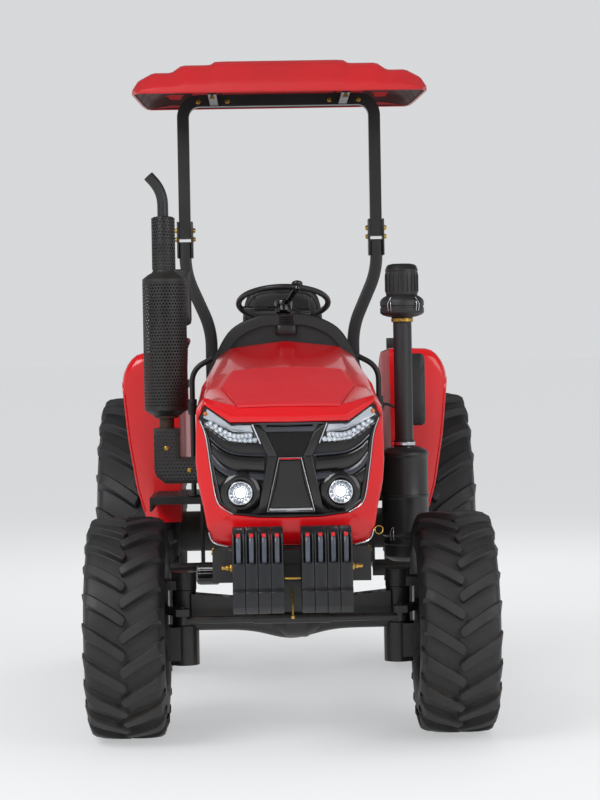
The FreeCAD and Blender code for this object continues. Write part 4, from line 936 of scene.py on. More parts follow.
def refine(grid: Points, soft: tuple[float, float], inner: tuple[int, int]) -> Points:
    """A finer grid over a coarse one, flat between its lines and rounded at them.

    Each span is sampled a little inside both its ends and evenly between, so that a line of the coarse grid
    becomes a narrow rounded edge. A new point is the mean of the two beside it, weighted by nearness.

    Args:
        grid: Coarse points as (rows, columns, 3).
        soft: Share of a span that its rounding takes, along the rows' and the columns' order.
        inner: Points inside each span, in the same order.

    Returns:
        The finer grid.
    """
    for axis in (0, 1):
        count = grid.shape[axis]
        inside = np.linspace(soft[axis], 1 - soft[axis], inner[axis] + 2)
        place = np.concatenate([[0.0], (np.arange(count - 1)[:, None] + inside).ravel(), [count - 1.0]])
        low = np.minimum(place.astype(int), count - 2)
        share = (place - low).reshape([-1 if side == axis else 1 for side in range(3)])
        grid = np.take(grid, low, axis) * (1 - share) + np.take(grid, low + 1, axis) * share
    return grid


def both(half: tuple[tuple[float, float], ...]) -> Points:
    """A closed outline from its left half.

    Args:
        half: Corners from the bottom middle up to the top middle.

    Returns:
        Corners of the whole, each once.
    """
    left = np.asarray(half, float)
    joined = np.concatenate([left, left[::-1] * np.array([-1.0, 1.0])])
    keep = np.linalg.norm(joined - np.roll(joined, 1, 0), axis=1) > 0.01
    return joined[keep]


def reach(outline: Points, centre: Points, angle: Points) -> Points:
    """Distance from a centre to an outline along each angle.

    A ray meets an edge where the cross products of the ray, the edge and the edge's start agree; the
    nearest such place in front of the centre counts.

    Args:
        outline: Corners as rows.
        centre: A point inside it.
        angle: Angles of the rays.

    Returns:
        The distances.
    """
    start = outline - centre
    edge = np.roll(outline, -1, 0) - outline
    ahead = np.stack([np.cos(angle), np.sin(angle)], 1)[:, None]
    below = ahead[..., 0] * edge[:, 1] - ahead[..., 1] * edge[:, 0]
    below = np.where(np.abs(below) < TINY, TINY, below)
    share = (start[:, 0] * ahead[..., 1] - start[:, 1] * ahead[..., 0]) / below
    away = (start[:, 0] * edge[:, 1] - start[:, 1] * edge[:, 0]) / below
    return np.where((share > -1e-6) & (share < 1 + 1e-6) & (away > 0), away, FAR).min(1)


def rings(table: list[tuple[Points, float, float, float]], centre: tuple[float, float], steps: int = 96) -> Points:
    """Rings round a centre in a front view: each is an outline drawn in by a distance, shrunk, and set back.

    A point is the centre plus the unit ray at its angle times (the outline's reach less the distance)
    times the share; the angles are even ones together with those of the outlines' corners.

    Args:
        table: Rows of outline, distance drawn in, share of the reach and place along Y.
        centre: Middle as (x, z).
        steps: Even angles.

    Returns:
        Points as (rings, angles, 3).
    """
    middle = np.asarray(centre)
    corners = np.concatenate([row[0] for row in table]) - middle
    exact = np.arctan2(corners[:, 1], corners[:, 0])
    angle = np.concatenate([turns(steps) - math.pi, exact - 0.012, exact, exact + 0.012])
    angle = np.unique(np.round((angle + math.pi) % TURN, 4)) - math.pi
    rows = []
    for outline, inset, share, y in table:
        away = np.maximum(reach(outline, middle, angle) - inset, 0.0) * share
        rows.append(np.stack([middle[0] + away * np.cos(angle), np.full(len(angle), y),
                              middle[1] + away * np.sin(angle)], 1))
    return np.array(rows)


@dataclass
class Bonnet(Part):
    """The bonnet's faceted skin, the frame round the grille and the chin below it."""

    body: str = "bonnet"
    mask: float = -1594.0
    front: float = -1570.0
    wall: float = 4.0
    crease: float = 885.0
    chin: float = 30.0
    raised: float = 6.0
    centre: tuple[float, float] = (0.0, 1080.0)

    # Columns: y; lower edge, waist, side top, shoulder and roof edge as half width and height; crown height
    rows = ((-1570.0, 318, 965, 356, 1110, 352, 1322, 319, 1358, 223, 1308, 1306),
            (-1520.0, 322, 962, 360, 1110, 354, 1330, 324, 1372, 202, 1336, 1340),
            (-1200.0, 332, 1015, 366, 1130, 352, 1360, 326, 1396, 272, 1402, 1414),
            (-900.0, 335, 1060, 366, 1140, 349, 1404, 320, 1442, 224, 1464, 1476),
            (-190.0, 340, 1110, 362, 1165, 338, 1440, 300, 1520, 236, 1562, 1590))
    outline = ((0, 812), (240, 812), (296, 828), (318, 880), (330, 954), (350, 1050), (356, 1130), (352, 1322),
               (319, 1358), (223, 1308), (0, 1306))
    opening = ((0, 914), (120, 916), (217, 929), (276, 975), (300, 1100), (317, 1223), (342, 1298), (318, 1344),
               (224, 1277), (0, 1275))

    def build(self) -> None:
        """Makes the skin, the nose frame and the small parts on the chin."""
        table = np.array(self.rows)
        pairs = table[:, 1:11].reshape(len(table), 5, 2)
        left = np.stack([pairs[..., 0], np.repeat(table[:, :1], 5, 1), pairs[..., 1]], -1)
        crown = np.stack([0 * table[:, 0], table[:, 0], table[:, 11]], -1)[:, None]
        grid = np.concatenate([left * np.array([-1.0, 1.0, 1.0]), crown, left[:, ::-1]], 1)
        self.add("bonnet_skin", RED, Shape().grid(refine(grid, (0.035, 0.05), (7, 3))), "bonnet",
                 wall=self.wall, outward=False, angle=60.0)
        self._frame()
        self._small()
        self._panel()

    def _frame(self) -> None:
        """The nose frame: rings from the skin over a rounded edge to the grille's opening.

        Below the crease every point moves back by the chin's depth times its share of the way down.
        """
        outer, inner, front = both(self.outline), both(self.opening), self.mask
        face = rings([(outer, 0, 1, self.front + 1), (outer, 0, 1, front + 9), (outer, 1.5, 1, front + 4),
                      (outer, 5, 1, front + 1), (outer, 11, 1, front), (inner, -7, 1, front),
                      (inner, -3, 1, front + 1), (inner, -0.5, 1, front + 4), (inner, 0, 1, front + 10),
                      (inner, 0, 1, front + 22)], self.centre, 120)
        low = np.clip((self.crease - face[..., 2]) / (self.crease - self.outline[0][1]), 0.0, 1.0)
        face[..., 1] += self.chin * low * np.array([0, 1, 1, 1, 1, 1, 1, 1, 1, 0.0])[:, None]
        self.add("nose_frame", RED, Shape().grid(face, around=True), wall=2.5, outward=False, angle=50.0)

    def _panel(self) -> None:
        """The raised field on the roof: level with the skin at its edge and a few millimetres over it inside."""
        lines = np.array(((-1530.0, 200, 1332, 1335), (-1520, 197, 1338, 1341), (-1200, 264, 1404, 1415),
                          (-905, 224, 1463, 1475)))
        y = np.concatenate([[-1530, -1525], np.linspace(-1510, -1200, 9), np.linspace(-1160, -950, 6), [-910, -905]])
        half, edge, crown = (np.interp(y, lines[:, 0], lines[:, column])[:, None] for column in (1, 2, 3))
        share = np.array([-1, -0.98, -0.7, -0.35, 0, 0.35, 0.7, 0.98, 1.0])
        lift = self.raised * np.minimum(np.abs(share) < 0.99, (np.abs(y + 1217.5) < 312)[:, None])
        z = edge + (crown - edge) * (1 - share ** 2) + lift
        self.add("bonnet_panel", SATIN_RED,
                 Shape().grid(np.stack([half * share, y[:, None] + 0 * share, z], -1)), outward=False,
                 angle=30.0)

    def _small(self) -> None:
        """Bright strips under the chin's corners and down the opening's sides, and the brass release ring."""
        corners = ((338, 1288), (317, 1223), (300, 1100), (276, 975), (219, 931))
        side = curve_through([(x, self.mask - 1, z) for x, z in corners], 40)
        self.add("opening_strips", CHROME, Shape().tube(side, 2.2, 8).mirrored())
        strip = curve_through([(312, -1588, 864), (303, -1587, 836), (286, -1584, 820), (240, -1582, 808)], 24)
        self.add("chin_strips", CHROME, Shape().tube(strip, 3.2, 8).mirrored())
        angle = turns(32)
        loop = np.stack([332 + 15 * np.cos(angle), -1584 + 4 * np.sin(angle), 862 + 15 * np.sin(angle)], 1)
        ring = Shape().tube(loop, 2.0, 8, up=(0.1, 1.0, 0.2), ring=True)
        ring.tube([(312, -1582, 862), (319, -1584, 862)], 4.5, 12)
        self.add("release_ring", ZINC, ring)
        # Columns: y, half width, height
        table = ((-1560, 357, 1130), (-1200, 366.4, 1150), (-900, 366.2, 1160), (-230, 361, 1180))
        gap = Shape()
        for side in SIDES:
            gap.tube([(side * (x + 0.6), y, z) for y, x, z in table], 1.6, 6)
        self.add("bonnet_seams", GLOSS_PLASTIC, gap)


@dataclass
class Grille(Part):
    """The black grille in the nose: panel, mesh, crossed bands, curved bars and lamp pods."""

    body: str = "bonnet"
    centre: tuple[float, float] = (0.0, 1080.0)
    pod: tuple[float, float] = WORK_LAMP
    mesh_pitch: float = 8.0

    def build(self) -> None:
        """Makes every layer from the back forward."""
        self._panel()
        self._mesh()
        self._bands()
        self._bars()
        self._pods()

    def _panel(self) -> None:
        """A back plate and a rounded border that follows the opening."""
        opening = both(Bonnet.opening)
        plate = rings([(opening, 0.5, 1, -1570), (opening, 0.5, 1, -1576), (opening, 6, 1, -1577),
                       (opening, 0, 0.5, -1576), (opening, 0, 0.0, -1576)], self.centre)
        self.add("grille_plate", PLASTIC, Shape().grid(plate, around=True), "grille", wall=2.0, outward=False)
        border = rings([(opening, 0.6, 1, -1574), (opening, 0.8, 1, -1588), (opening, 3, 1, -1591.5),
                        (opening, 9, 1, -1592), (opening, 14, 1, -1589), (opening, 17, 1, -1577)], self.centre)
        self.add("grille_border", GLOSS_PLASTIC, Shape().grid(border, around=True), outward=False, angle=50.0)

    def _mesh(self) -> None:
        """A woven mesh in the upper middle window, cut off by the bands' slope."""
        shape = Shape()
        for z in np.arange(1152.0, 1236.0, self.mesh_pitch):
            half = 44 + (z - 1148) * 0.5
            shape.tube([(half, -1587, z), (-half, -1587, z)], 1.3, 6)
        for x in np.arange(-84.0, 85.0, self.mesh_pitch):
            low = 1148 + max(abs(x) - 44, 0) * 2
            if low < 1228:
                shape.tube([(x, -1587.8, low), (x, -1587.8, 1236)], 1.3, 6, up=(0.0, 1.0, 0.01))
        self.add("grille_mesh", GRILLE_BLACK, shape)

    def _bands(self) -> None:
        """The crossed bands, and the bar above them with its slot."""
        shape = Shape()
        shape.push([(139, 1271), (92, 1238), (48, 1146), (84, 1146)], Axis.Y, -1593, -1578)
        shape.push([(48, 1146.5), (84, 1146.5), (126, 930), (94, 930)], Axis.Y, -1593, -1578)
        shape.mirrored()
        self.add("grille_bands", GLOSS_PLASTIC, shape, bevel=3.0, steps=3)
        bar = Shape()
        bar.push([(-128, 1274), (-112, 1267), (112, 1267), (128, 1274)], Axis.Y, -1592, -1580)
        bar.push([(-105, 1258), (-91, 1239), (91, 1239), (105, 1258)], Axis.Y, -1592, -1580)
        bar.push([(-111, 1266.6), (-104, 1258.4), (-88, 1258.4), (-88, 1266.6)], Axis.Y, -1591, -1580)
        bar.push([(88, 1266.6), (88, 1258.4), (104, 1258.4), (111, 1266.6)], Axis.Y, -1591, -1580)
        self.add("grille_top_bar", LOUVRE, bar, bevel=1.6, steps=2)

    def _bars(self) -> None:
        """The two curved bars on each side, a rounded blade carried along a smooth line."""
        shape = Shape()
        blade = [(2, -11), (-6, -10.5), (-9.5, -5), (-7, 4), (-2, 10.5), (2, 11)]
        for line, thick in ((((303, 1224), (262, 1186), (205, 1160), (90, 1150)), 0.45),
                            (((305, 1160), (262, 1106), (205, 1078), (92, 1066)), 1.2)):
            path = curve_through([(x, -1581, z) for x, z in line], 30)
            shape.tube(path, 0, section=[(across, thick * along) for across, along in blade])
        shape.mirrored()
        self.add("grille_curved_bars", LOUVRE, shape, bevel=1.2, angle=50.0)
        pads = Shape()
        for upper, lower, face in (((1144, 1154, 1178, 1212), (1084, 1096, 1124, 1160), -1590.0),
                                   ((1052, 1062, 1090, 1120), (1046, 1040, 1036, 1040), -1584.0)):
            x = np.array([98.0, 205.0, 262.0, 296.0])
            top, low = (curve_through(np.column_stack([x, z]), 16) for z in (upper, lower))
            share = np.array([0.0, 0.04, 0.2, 0.5, 0.8, 0.96, 1.0])[:, None, None]
            level = top * share + low * (1 - share)
            out = face + 9.0 * (2 * share[..., 0] - 1) ** 4 + 0 * level[..., 0]
            pads.grid(np.stack([level[..., 0], out, level[..., 1]], -1))
        self.add("grille_pads", GLOSS_PLASTIC, pads.mirrored(), wall=2.0, angle=50.0)

    def _pods(self) -> None:
        """A dished round pod under each work lamp."""
        shape = Shape()
        profile = [(-1577, 84), (-1582, 82), (-1589, 74), (-1594, 66), (-1595.5, 60), (-1595.5, 52), (-1593, 49.5),
                   (-1584, 48.5), (-1577, 48)]
        shape.turn(profile, Axis.Y, (self.pod[0], 0, self.pod[1]), 56, loop=True)
        shape.mirrored()
        self.add("lamp_pods", GLOSS_PLASTIC, shape, angle=50.0)


@dataclass
class Trim(Part):
    """The narrow trapezoid trim in the middle of the grille."""

    body: str = "bonnet"
    centre: tuple[float, float] = (0.0, 1030.0)

    # Columns: half width, height
    outline = ((0, 938), (90, 938), (42, 1142), (0, 1142))

    def build(self) -> None:
        """Makes the black frame with its bright lines and the plate inside."""
        outline = both(self.outline)
        frame = rings([(outline, 0, 1, -1588), (outline, 0, 1, -1596.5), (outline, 1.5, 1, -1598),
                       (outline, 8, 1, -1598), (outline, 10, 1, -1596), (outline, 10.5, 1, -1586)], self.centre)
        self.add("trim_frame", GLOSS_PLASTIC, Shape().grid(frame, around=True, along=True), "grille_trim", angle=40.0)
        line = rings([(outline, 0.4, 1, -1596.6)], self.centre)[0]
        self.add("trim_line", CHROME, Shape().tube(line, 1.5, 6, up=(0.01, 1.0, 0.02), ring=True))
        self.add("trim_foot", CHROME,
                 Shape().push([(-84, 941), (84, 941), (80, 952), (-80, 952)], Axis.Y, -1600, -1594), bevel=2.0,
                 steps=3)
        self.add("trim_red_line", RED,
                 Shape().push([(-40, 1135), (40, 1135), (39, 1140), (-39, 1140)], Axis.Y, -1599.5, -1595),
                 bevel=1.0)
        plate = rings([(outline, 10, 1, -1584), (outline, 12, 1, -1588), (outline, 20, 1, -1588.5),
                       (outline, 20, 0.0, -1587)], self.centre)
        self.add("trim_plate", GLOSS_PLASTIC, Shape().grid(plate, around=True), outward=False)


@dataclass
class Lamps(Part):
    """Headlamps in the nose's corners and round work lamps below them."""

    body: str = "bonnet"
    work: tuple[float, float] = WORK_LAMP
    centre: tuple[float, float] = (216.0, 1242.0)
    band_centre: tuple[float, float] = (220.0, 1256.0)
    cell_ring: float = 30.0

    # Columns: across, height
    outline = ((108, 1192), (232, 1202), (328, 1276), (337, 1296), (314, 1337), (222, 1272), (140, 1271))
    bright = ((134, 1238), (214, 1240), (290, 1280), (330, 1300), (314, 1334), (222, 1269), (144, 1268))
    # Columns: start, middle and end of a row of small lenses as across and height, and its number
    dots = ((150, 1228, 218, 1229, 300, 1276, 10), (132, 1210, 226, 1213, 312, 1270, 11))

    def build(self) -> None:
        """Makes the headlamps, then the work lamps."""
        self._housing()
        self._lights()
        self._work()

    def _housing(self) -> None:
        """Black shell, bright band, side light and clear cover, all following the lamp's outline."""
        outline, bright = np.array(self.outline, float), np.array(self.bright, float)
        shell = rings([(outline, 0, 1, -1576), (outline, -1, 1, -1590), (outline, 0.5, 1, -1594),
                       (outline, 5, 1, -1594), (outline, 7, 1, -1588), (outline, 8, 1, -1580),
                       (outline, 0, 0.0, -1579)], self.centre)
        self.add("headlamp_shells", GLOSS_PLASTIC, Shape().grid(shell, around=True).mirrored(), "headlamps",
                 angle=40.0)
        band = rings([(bright, 2, 1, -1581), (bright, 3, 1, -1588), (bright, 5, 1, -1589), (bright, 5, 0.6, -1584),
                      (bright, 5, 0.0, -1582)], self.band_centre)
        self.add("headlamp_bands", REFLECTOR, Shape().grid(band, around=True).mirrored(), angle=30.0)
        cover = rings([(outline, 4, 1, -1592), (outline, 5, 1, -1594.5), (outline, 9, 1, -1597),
                       (outline, 0, 0.7, -1599), (outline, 0, 0.35, -1600), (outline, 0, 0.0, -1600)],
                      self.centre)
        self.add("headlamp_covers", GLASS, Shape().grid(cover, around=True).mirrored(), wall=1.2)
        self.add("headlamp_ends", CHROME, Shape().tube([(141, -1596, 1269), (111, -1596, 1195)], 3.0, 10).mirrored())
        dome = [(-1597, 0.0), (-1596, 5.0), (-1592, 8.5), (-1586, 10.0), (-1582, 10.0)]
        self.add("side_lights", AMBER, Shape().turn(dome, Axis.Y, (317, 0, 1313), 20).mirrored())

    def _lights(self) -> None:
        """Rows of small bowls with a lit lens in each, spaced evenly along the lamp's lower edge."""
        bowls, lenses = Shape(), Shape()
        bowl = [(-1583, 0.5), (-1583, 2.5), (-1586, 6.0), (-1592, 8.6), (-1593, 9.4), (-1592, 10.0), (-1584, 10.2)]
        lens = [(-1591, 0.0), (-1590.4, 2.6), (-1588, 4.6), (-1584, 5.2)]
        for row in self.dots:
            path = curve_through(np.array(row[:6]).reshape(3, 2), 200)
            for place in np.linspace(0, 199, row[6]).astype(int):
                bowls.turn(bowl, Axis.Y, (path[place, 0], 0, path[place, 1]), 12)
                lenses.turn(lens, Axis.Y, (path[place, 0], 0, path[place, 1]), 10)
        self.add("lens_bowls", REFLECTOR, bowls.mirrored())
        self.add("lens_cores", LENS_CORE, lenses.mirrored())

    def _work(self) -> None:
        """Work lamps: a turned bezel and bowl, a ring of cells, a lit middle and a clear front."""
        x, z = self.work
        middle = (x, 0, z)
        bezel = [(-1584, 47.5), (-1597, 47.0), (-1600, 45.0), (-1600.5, 42.5), (-1598, 40.5), (-1590, 39.5),
                 (-1585, 32), (-1581, 20), (-1580, 12), (-1580, 0)]
        self.add("work_lamp_bowls", CHROME, Shape().turn(bezel, Axis.Y, middle, 48).mirrored(), "fog_lamps",
                 angle=40.0)
        cells = Shape()
        cell = [(-1593, 0.0), (-1592, 3.6), (-1588, 5.8), (-1583, 6.4)]
        for angle in turns(14):
            cells.turn(cell, Axis.Y,
                       (x + self.cell_ring * math.cos(angle), 0, z + self.cell_ring * math.sin(angle)), 10)
        self.add("work_lamp_cells", REFLECTOR, cells.mirrored())
        core = [(-1594, 0.0), (-1593, 9.0), (-1589, 16.0), (-1582, 19.0)]
        self.add("work_lamp_cores", LIT, Shape().turn(core, Axis.Y, middle, 28).mirrored())
        front = [(-1602.5, 0.0), (-1602, 20.0), (-1600.5, 34.0), (-1598.5, 41.0)]
        self.add("work_lamp_fronts", GLASS, Shape().turn(front, Axis.Y, middle, 40).mirrored(), wall=1.2)


def punched(across: int, along: int, hole: float) -> tuple[Points, list[list[int]]]:
    """A sheet of square cells, each with an eight-sided hole, in cells as the unit.

    A cell is a square ring of eight quads between its corners and edge middles, and the same eight
    directions at the hole's share of the half cell. Every second row is shifted by half a cell.

    Args:
        across: Cells in a row.
        along: Rows.
        hole: Hole's radius as a share of half a cell.

    Returns:
        Points as (count, 2) and the quads.
    """
    square = np.clip(circle(8) * 1.5, -1, 1)
    cell = np.stack([square, circle(8) * hole]) * 0.5
    row, column = np.meshgrid(np.arange(along), np.arange(across), indexing="ij")
    shift = (row % 2) * 0.5
    centre = np.stack([column + 0.5 + shift, row + 0.5], -1).reshape(-1, 1, 1, 2)
    points = (centre + cell).reshape(-1, 2)
    step = np.arange(8)
    ring = np.stack([step, (step + 1) % 8, (step + 1) % 8 + 8, step + 8], 1)
    faces = ring[None] + (np.arange(across * along) * CELL)[:, None, None]
    return points, faces.reshape(-1, 4).tolist()


def slotted(points: Points, faces: list[list[int]], keep: Points) -> tuple[Points, list[list[int]]]:
    """The cells of a punched sheet that a mask keeps.

    Args:
        points: The sheet's points.
        faces: Its quads.
        keep: Whether each cell is kept.

    Returns:
        Points and quads of what is left.
    """
    cells = np.flatnonzero(keep)
    kept = points.reshape(len(keep), CELL, -1)[cells].reshape(-1, points.shape[-1])
    return kept, faces[:len(cells) * CELL // 2]


@dataclass
class Weights(Part):
    """Eight suitcase weights on the carrier, each with cheeks and an upright grip."""

    inner: float = 33.0
    pitch: float = 47.2
    thick: float = 46.0
    count: int = 4
    bolt: tuple[float, float] = (-1700.0, 738.0)

    # Columns: place along Y, height
    block = ((-1868, 584), (-1690, 584), (-1630, 634), (-1630, 751.7), (-1676.3, 751.7), (-1676.3, 800.3),
             (-1630, 800.3), (-1630, 866), (-1662, 889), (-1806, 889), (-1832, 874), (-1842, 800), (-1858, 776),
             (-1878, 766), (-1878, 678), (-1900, 666), (-1900, 612))
    cheek = ((-1878, 764), (-1876, 846), (-1860, 878), (-1836, 886), (-1826, 872), (-1840, 770))
    grip = ((-1862, 768), (-1870, 790), (-1869, 838), (-1856, 864), (-1836, 868))

    def build(self) -> None:
        """Makes the slabs, their grips and the bolts that hold them."""
        slabs, grips, marks = Shape(), Shape(), Shape()
        path = curve_through(np.array(self.grip, float), 26)
        section = [(-8.5, -5), (-8.5, 4), (-5, 8), (5, 8), (8.5, 4), (8.5, -5), (5, -7), (-5, -7)]
        for number in range(self.count):
            start = self.inner + number * self.pitch
            slabs.push(self.block, Axis.X, start, start + self.thick)
            slabs.push(self.cheek, Axis.X, start + 0.5, start + 7)
            slabs.push(self.cheek, Axis.X, start + self.thick - 7, start + self.thick - 0.5)
            middle = start + self.thick * 0.5
            line = np.column_stack([np.full(len(path), middle), path])
            grips.tube(line, 0, up=(1.0, 0.001, 0.002), section=[(y, x) for x, y in section])
            marks.block((middle - 7, -1868, 864), (middle + 7, -1852, 878))
        self.add("weight_slabs", WEIGHT_BLUE, slabs.mirrored(), "front_weights", bevel=3.0, steps=2)
        # The grips' lighter colour is painted highlight
        self.add("weight_grips", WEIGHT_GRIP_HIGHLIGHT, grips.mirrored(), bevel=1.0)
        self.add("weight_marks", RED, marks.mirrored(), bevel=2.0)
        self._bolts()

    def _bolts(self) -> None:
        """The through bolts' ends at both sides and the hanging pin between the two packs."""
        shape = Shape()
        for x, radius in ((222, 15), (236, 10)):
            shape.push(polygon(self.bolt, radius), Axis.X, x - 1, x + 10)
        shape.turn([(221, 0), (221, 6.5), (262, 6.5), (264, 5), (264, 0)], Axis.X, (0, *self.bolt), 16)
        shape.mirrored()
        shape.turn([(540, 0), (540, 7), (552, 7), (554, 4), (650, 4), (650, 0)], Axis.Z, (0, -1668, 0), 16)
        shape.tube([(-31, -1866, 712), (31, -1866, 712)], 4, 12)
        self.add("weight_bolts", ZINC, shape, bevel=0.8)


@dataclass
class Canopy(Part):
    """The moulded roof, stepped up to a raised middle, with a dark red sheet under it that is painted shade."""

    body: str = "roll_hoop"
    front: float = 230.0
    back: float = 1520.0
    low_front: float = 2737.0
    low_back: float = 2800.0
    wall: float = 10.0

    # Columns: half width, rise above the rim's lower edge
    profile = ((683, 0), (683, 20), (655, 70), (585, 112), (500, 112), (450, 150), (320, 150), (295, 168), (0, 168))
    # Columns: share of the length, share of the width, share of the rise
    rows = ((0.0, 0.955, 0.02), (0.004, 0.957, 0.25), (0.07, 1.0, 0.86), (0.3, 1.0, 1.0), (0.75, 1.0, 0.92),
            (0.95, 0.99, 0.78), (0.996, 0.962, 0.25), (1.0, 0.96, 0.02))

    def surface(self, drawn_in: float) -> Points:
        """The roof's surface from side to side.

        A point's distance from the middle is the profile's times the row's share, and its height is the
        rim's height there plus the profile's rise times the row's share; the dark sheet of painted shade lies a
        distance inside.

        Args:
            drawn_in: That distance.

        Returns:
            The surface as a grid.
        """
        profile, rows = np.array(self.profile, float), np.array(self.rows)
        whole = np.concatenate([profile * np.array([-1.0, 1.0]), profile[::-1][1:]])
        y = self.front + (self.back - self.front) * rows[:, 0]
        y = np.clip(y, self.front + drawn_in, self.back - drawn_in)
        low = self.low_front + (self.low_back - self.low_front) * rows[:, 0]
        width = (np.abs(whole[:, 0]) - drawn_in).clip(0) * np.sign(whole[:, 0])
        x = width * rows[:, 1:2]
        z = low[:, None] + np.maximum(whole[:, 1] * rows[:, 2:3] - drawn_in, 0.0)
        return refine(np.stack([x, np.broadcast_to(y[:, None], x.shape), z], -1), (0.14, 0.12), (5, 3))

    def build(self) -> None:
        """Makes the roof, the dark red sheet of painted shade under it, the rolled rim and the bolts on the hoop."""
        self.add("canopy_roof", CANOPY_RED, Shape().grid(self.surface(0.0)), "canopy", wall=self.wall,
                 outward=False, angle=50.0)
        # A dark red sheet just inside the roof: painted shade on its underside
        self.add("canopy_lining", CANOPY_PAINTED_SHADE, Shape().grid(self.surface(self.wall + 1.0)[:, ::-1]),
                 outward=False, angle=50.0)
        edge = self.surface(5.0)
        loop = np.concatenate([edge[0], edge[:, -1][1:], edge[-1][::-1][1:], edge[:, 0][::-1][1:-1]])
        keep = np.linalg.norm(loop - np.roll(loop, 1, 0), axis=1) > 4.0
        self.add("canopy_rim", CANOPY_RED, Shape().tube(loop[keep] + np.array([0, 0, 1.0]), 6.0, 8, ring=True),
                 angle=60.0)
        bolts = Shape()
        bolts.turn([(2758, 12), (2766, 12), (2768, 7), (2774, 7), (2776, 0)], Axis.Z, (320, 700, 0), 12)
        for x in (255, 400):
            bolts.turn([(1157, 0), (1157, 8), (1160.5, 10), (1161.5, 15)], Axis.Y, (x, 0, 2797), 12)
        self.add("canopy_bolts", ZINC, bolts.mirrored())


@dataclass
class Exhaust(Part):
    """Perforated guard, silencer, tail pipe and the punched cover over the elbow."""

    x: float = -512.0
    y: float = -500.0
    low: float = 1280.0
    high: float = 1887.0
    radius: float = 93.0
    pipe: float = 47.0
    top: float = 2127.0
    manifold: float = 1045.0
    cover: float = 54.0
    pitch: float = 15.0

    # Columns: place across, height of the cover's stand-offs
    stands = ((-512.0, 1140.0), (-416.0, 1045.0))

    def build(self) -> None:
        """Makes the silencer and guard, then the elbow and its cover."""
        self._guard()
        self._pipes()
        self._elbow()

    def _guard(self) -> None:
        """The guard: a punched sheet rolled round the stack, at the radius for every angle and height."""
        shape = Shape()
        for around, along, radius, low, high in ((44, 41, self.radius, self.low + 24, self.high - 34),
                                                 (24, 16, self.pipe + 3, self.high + 14, self.top - 8)):
            flat, faces = punched(around, along, 0.66)
            angle = flat[:, 0] / around * TURN
            z = low + flat[:, 1] / along * (high - low)
            shape.mesh(np.stack([self.x + radius * np.cos(angle), self.y + radius * np.sin(angle), z], 1), faces)
        self.add("exhaust_guard", SOOTY_BLACK, shape, "muffler", wall=1.8, outward=False, angle=60.0)

    def _pipes(self) -> None:
        """Turned silencer with ends and seams, upper pipe with rings, and the bent tail pipe."""
        low, high, top, middle = self.low, self.high, self.top, (self.x, self.y, 0)
        shape = Shape()
        shape.turn([(low, 0), (low, 60), (low + 6, 66), (low + 22, 92.6), (low + 34, 93), (low + 34, 88),
                    (low + 20, 70), (low + 20, 0)], Axis.Z, middle, 48)
        shape.turn([(high - 42, 88), (high - 42, 93), (high - 28, 92.6), (high - 10, 70), (high, 52),
                    (high + 8, 47.5), (2008, 47), (2012, 49), (2020, 49), (2024, 47), (top - 14, 47),
                    (top - 4, 43), (top, 24), (top, 0)], Axis.Z, middle, 48)
        shape.turn([(1296, 0), (1296, 58), (1304, 66), (1600, 66), (1603, 68), (1607, 68), (1610, 66), (1860, 66),
                    (1870, 50), (1870, 0)], Axis.Z, middle, 40)
        self.add("exhaust_silencer", SOOTY_BLACK, shape, angle=40.0)
        path = bent([(self.x, self.y, top - 6), (self.x, self.y, top + 106), (self.x - 59, self.y, top + 172)],
                    60.0, 12)
        tail = Shape().tube(path, 21.4, 24, up=(0.01, 1.0, 0.02))
        tail.faces = tail.faces[:-2]
        self.add("exhaust_tail", SOOTY_BLACK, tail, wall=2.0, outward=False, angle=50.0)

    def _elbow(self) -> None:
        """The elbow, its flanges and stand-offs, and the L-shaped cover with its punched front."""
        x, y, z, half = self.x, self.y, self.manifold, self.cover
        pipe = Shape()
        pipe.tube(bent([(x, y, self.low - 1), (x, y, z), (-222, y, z)], 70.0, 12), 32.0, 24, up=(0.01, 1.0, 0.02))
        pipe.turn([(self.low - 12, 0), (self.low - 12, 50), (self.low - 10, 52), (self.low - 1, 52),
                   (self.low - 1, 0)], Axis.Z, (x, y, 0), 32)
        pipe.turn([(-232, 0), (-232, 44), (-222, 44), (-222, 0)], Axis.X, (0, y, z), 24)
        for across, height in self.stands:
            pipe.tube([(across, y - half, height), (across, y - 20, height)], 9.0, 12)
        self.add("exhaust_pipe", RUSTY, pipe, "exhaust_elbow", angle=40.0)
        outline = np.array([(x - half, 1225), (x - half, z + 8), (x - half + 10, z - 24), (x - 8, z - half),
                            (-367, z - half), (-367, z + half), (x + half, z + half), (x + half, 1225)])
        shell = Shape().push(outline, Axis.Y, y - half, y + half)
        shell.faces = shell.faces[:-1]
        self.add("elbow_cover", SOOTY_BLACK, shell, bevel=4.0, wall=2.0)
        self._punched()

    def _punched(self) -> None:
        """Punched skin on the cover's front: the cells of a level sheet whose corners all lie on the cover."""
        x, z = self.x, self.manifold
        flat, faces = punched(14, 16, 0.62)
        place = flat * self.pitch + np.array([x - self.cover - 4, z - self.cover - 2])
        upright = (place[:, 0] > x - self.cover + 3) & (place[:, 0] < x + self.cover - 3) & (place[:, 1] < 1221)
        level = (place[:, 0] > x) & (place[:, 0] < -370) & (place[:, 1] < z + self.cover - 3)
        above = place[:, 1] > z - self.cover + 3
        corner = (place[:, 0] - x + self.cover) + (place[:, 1] - z + self.cover) > 46
        inside = ((upright | level) & above & corner).reshape(-1, CELL).all(1)
        kept, quads = slotted(place, faces, inside)
        front = np.full(len(kept), self.y - self.cover - 2.2)
        shape = Shape().mesh(np.stack([kept[:, 0], front, kept[:, 1]], 1), quads)
        self.add("elbow_punched", COVER_BLACK, shape, wall=1.8, angle=60.0)
        bolts = Shape()
        head = [(self.y - self.cover - out, radius) for out, radius in ((10, 0), (9, 7), (3, 8), (1, 12))]
        for across, height in self.stands:
            bolts.turn(head, Axis.Y, (across, 0, height), 12)
        self.add("elbow_bolts", ZINC, bolts)


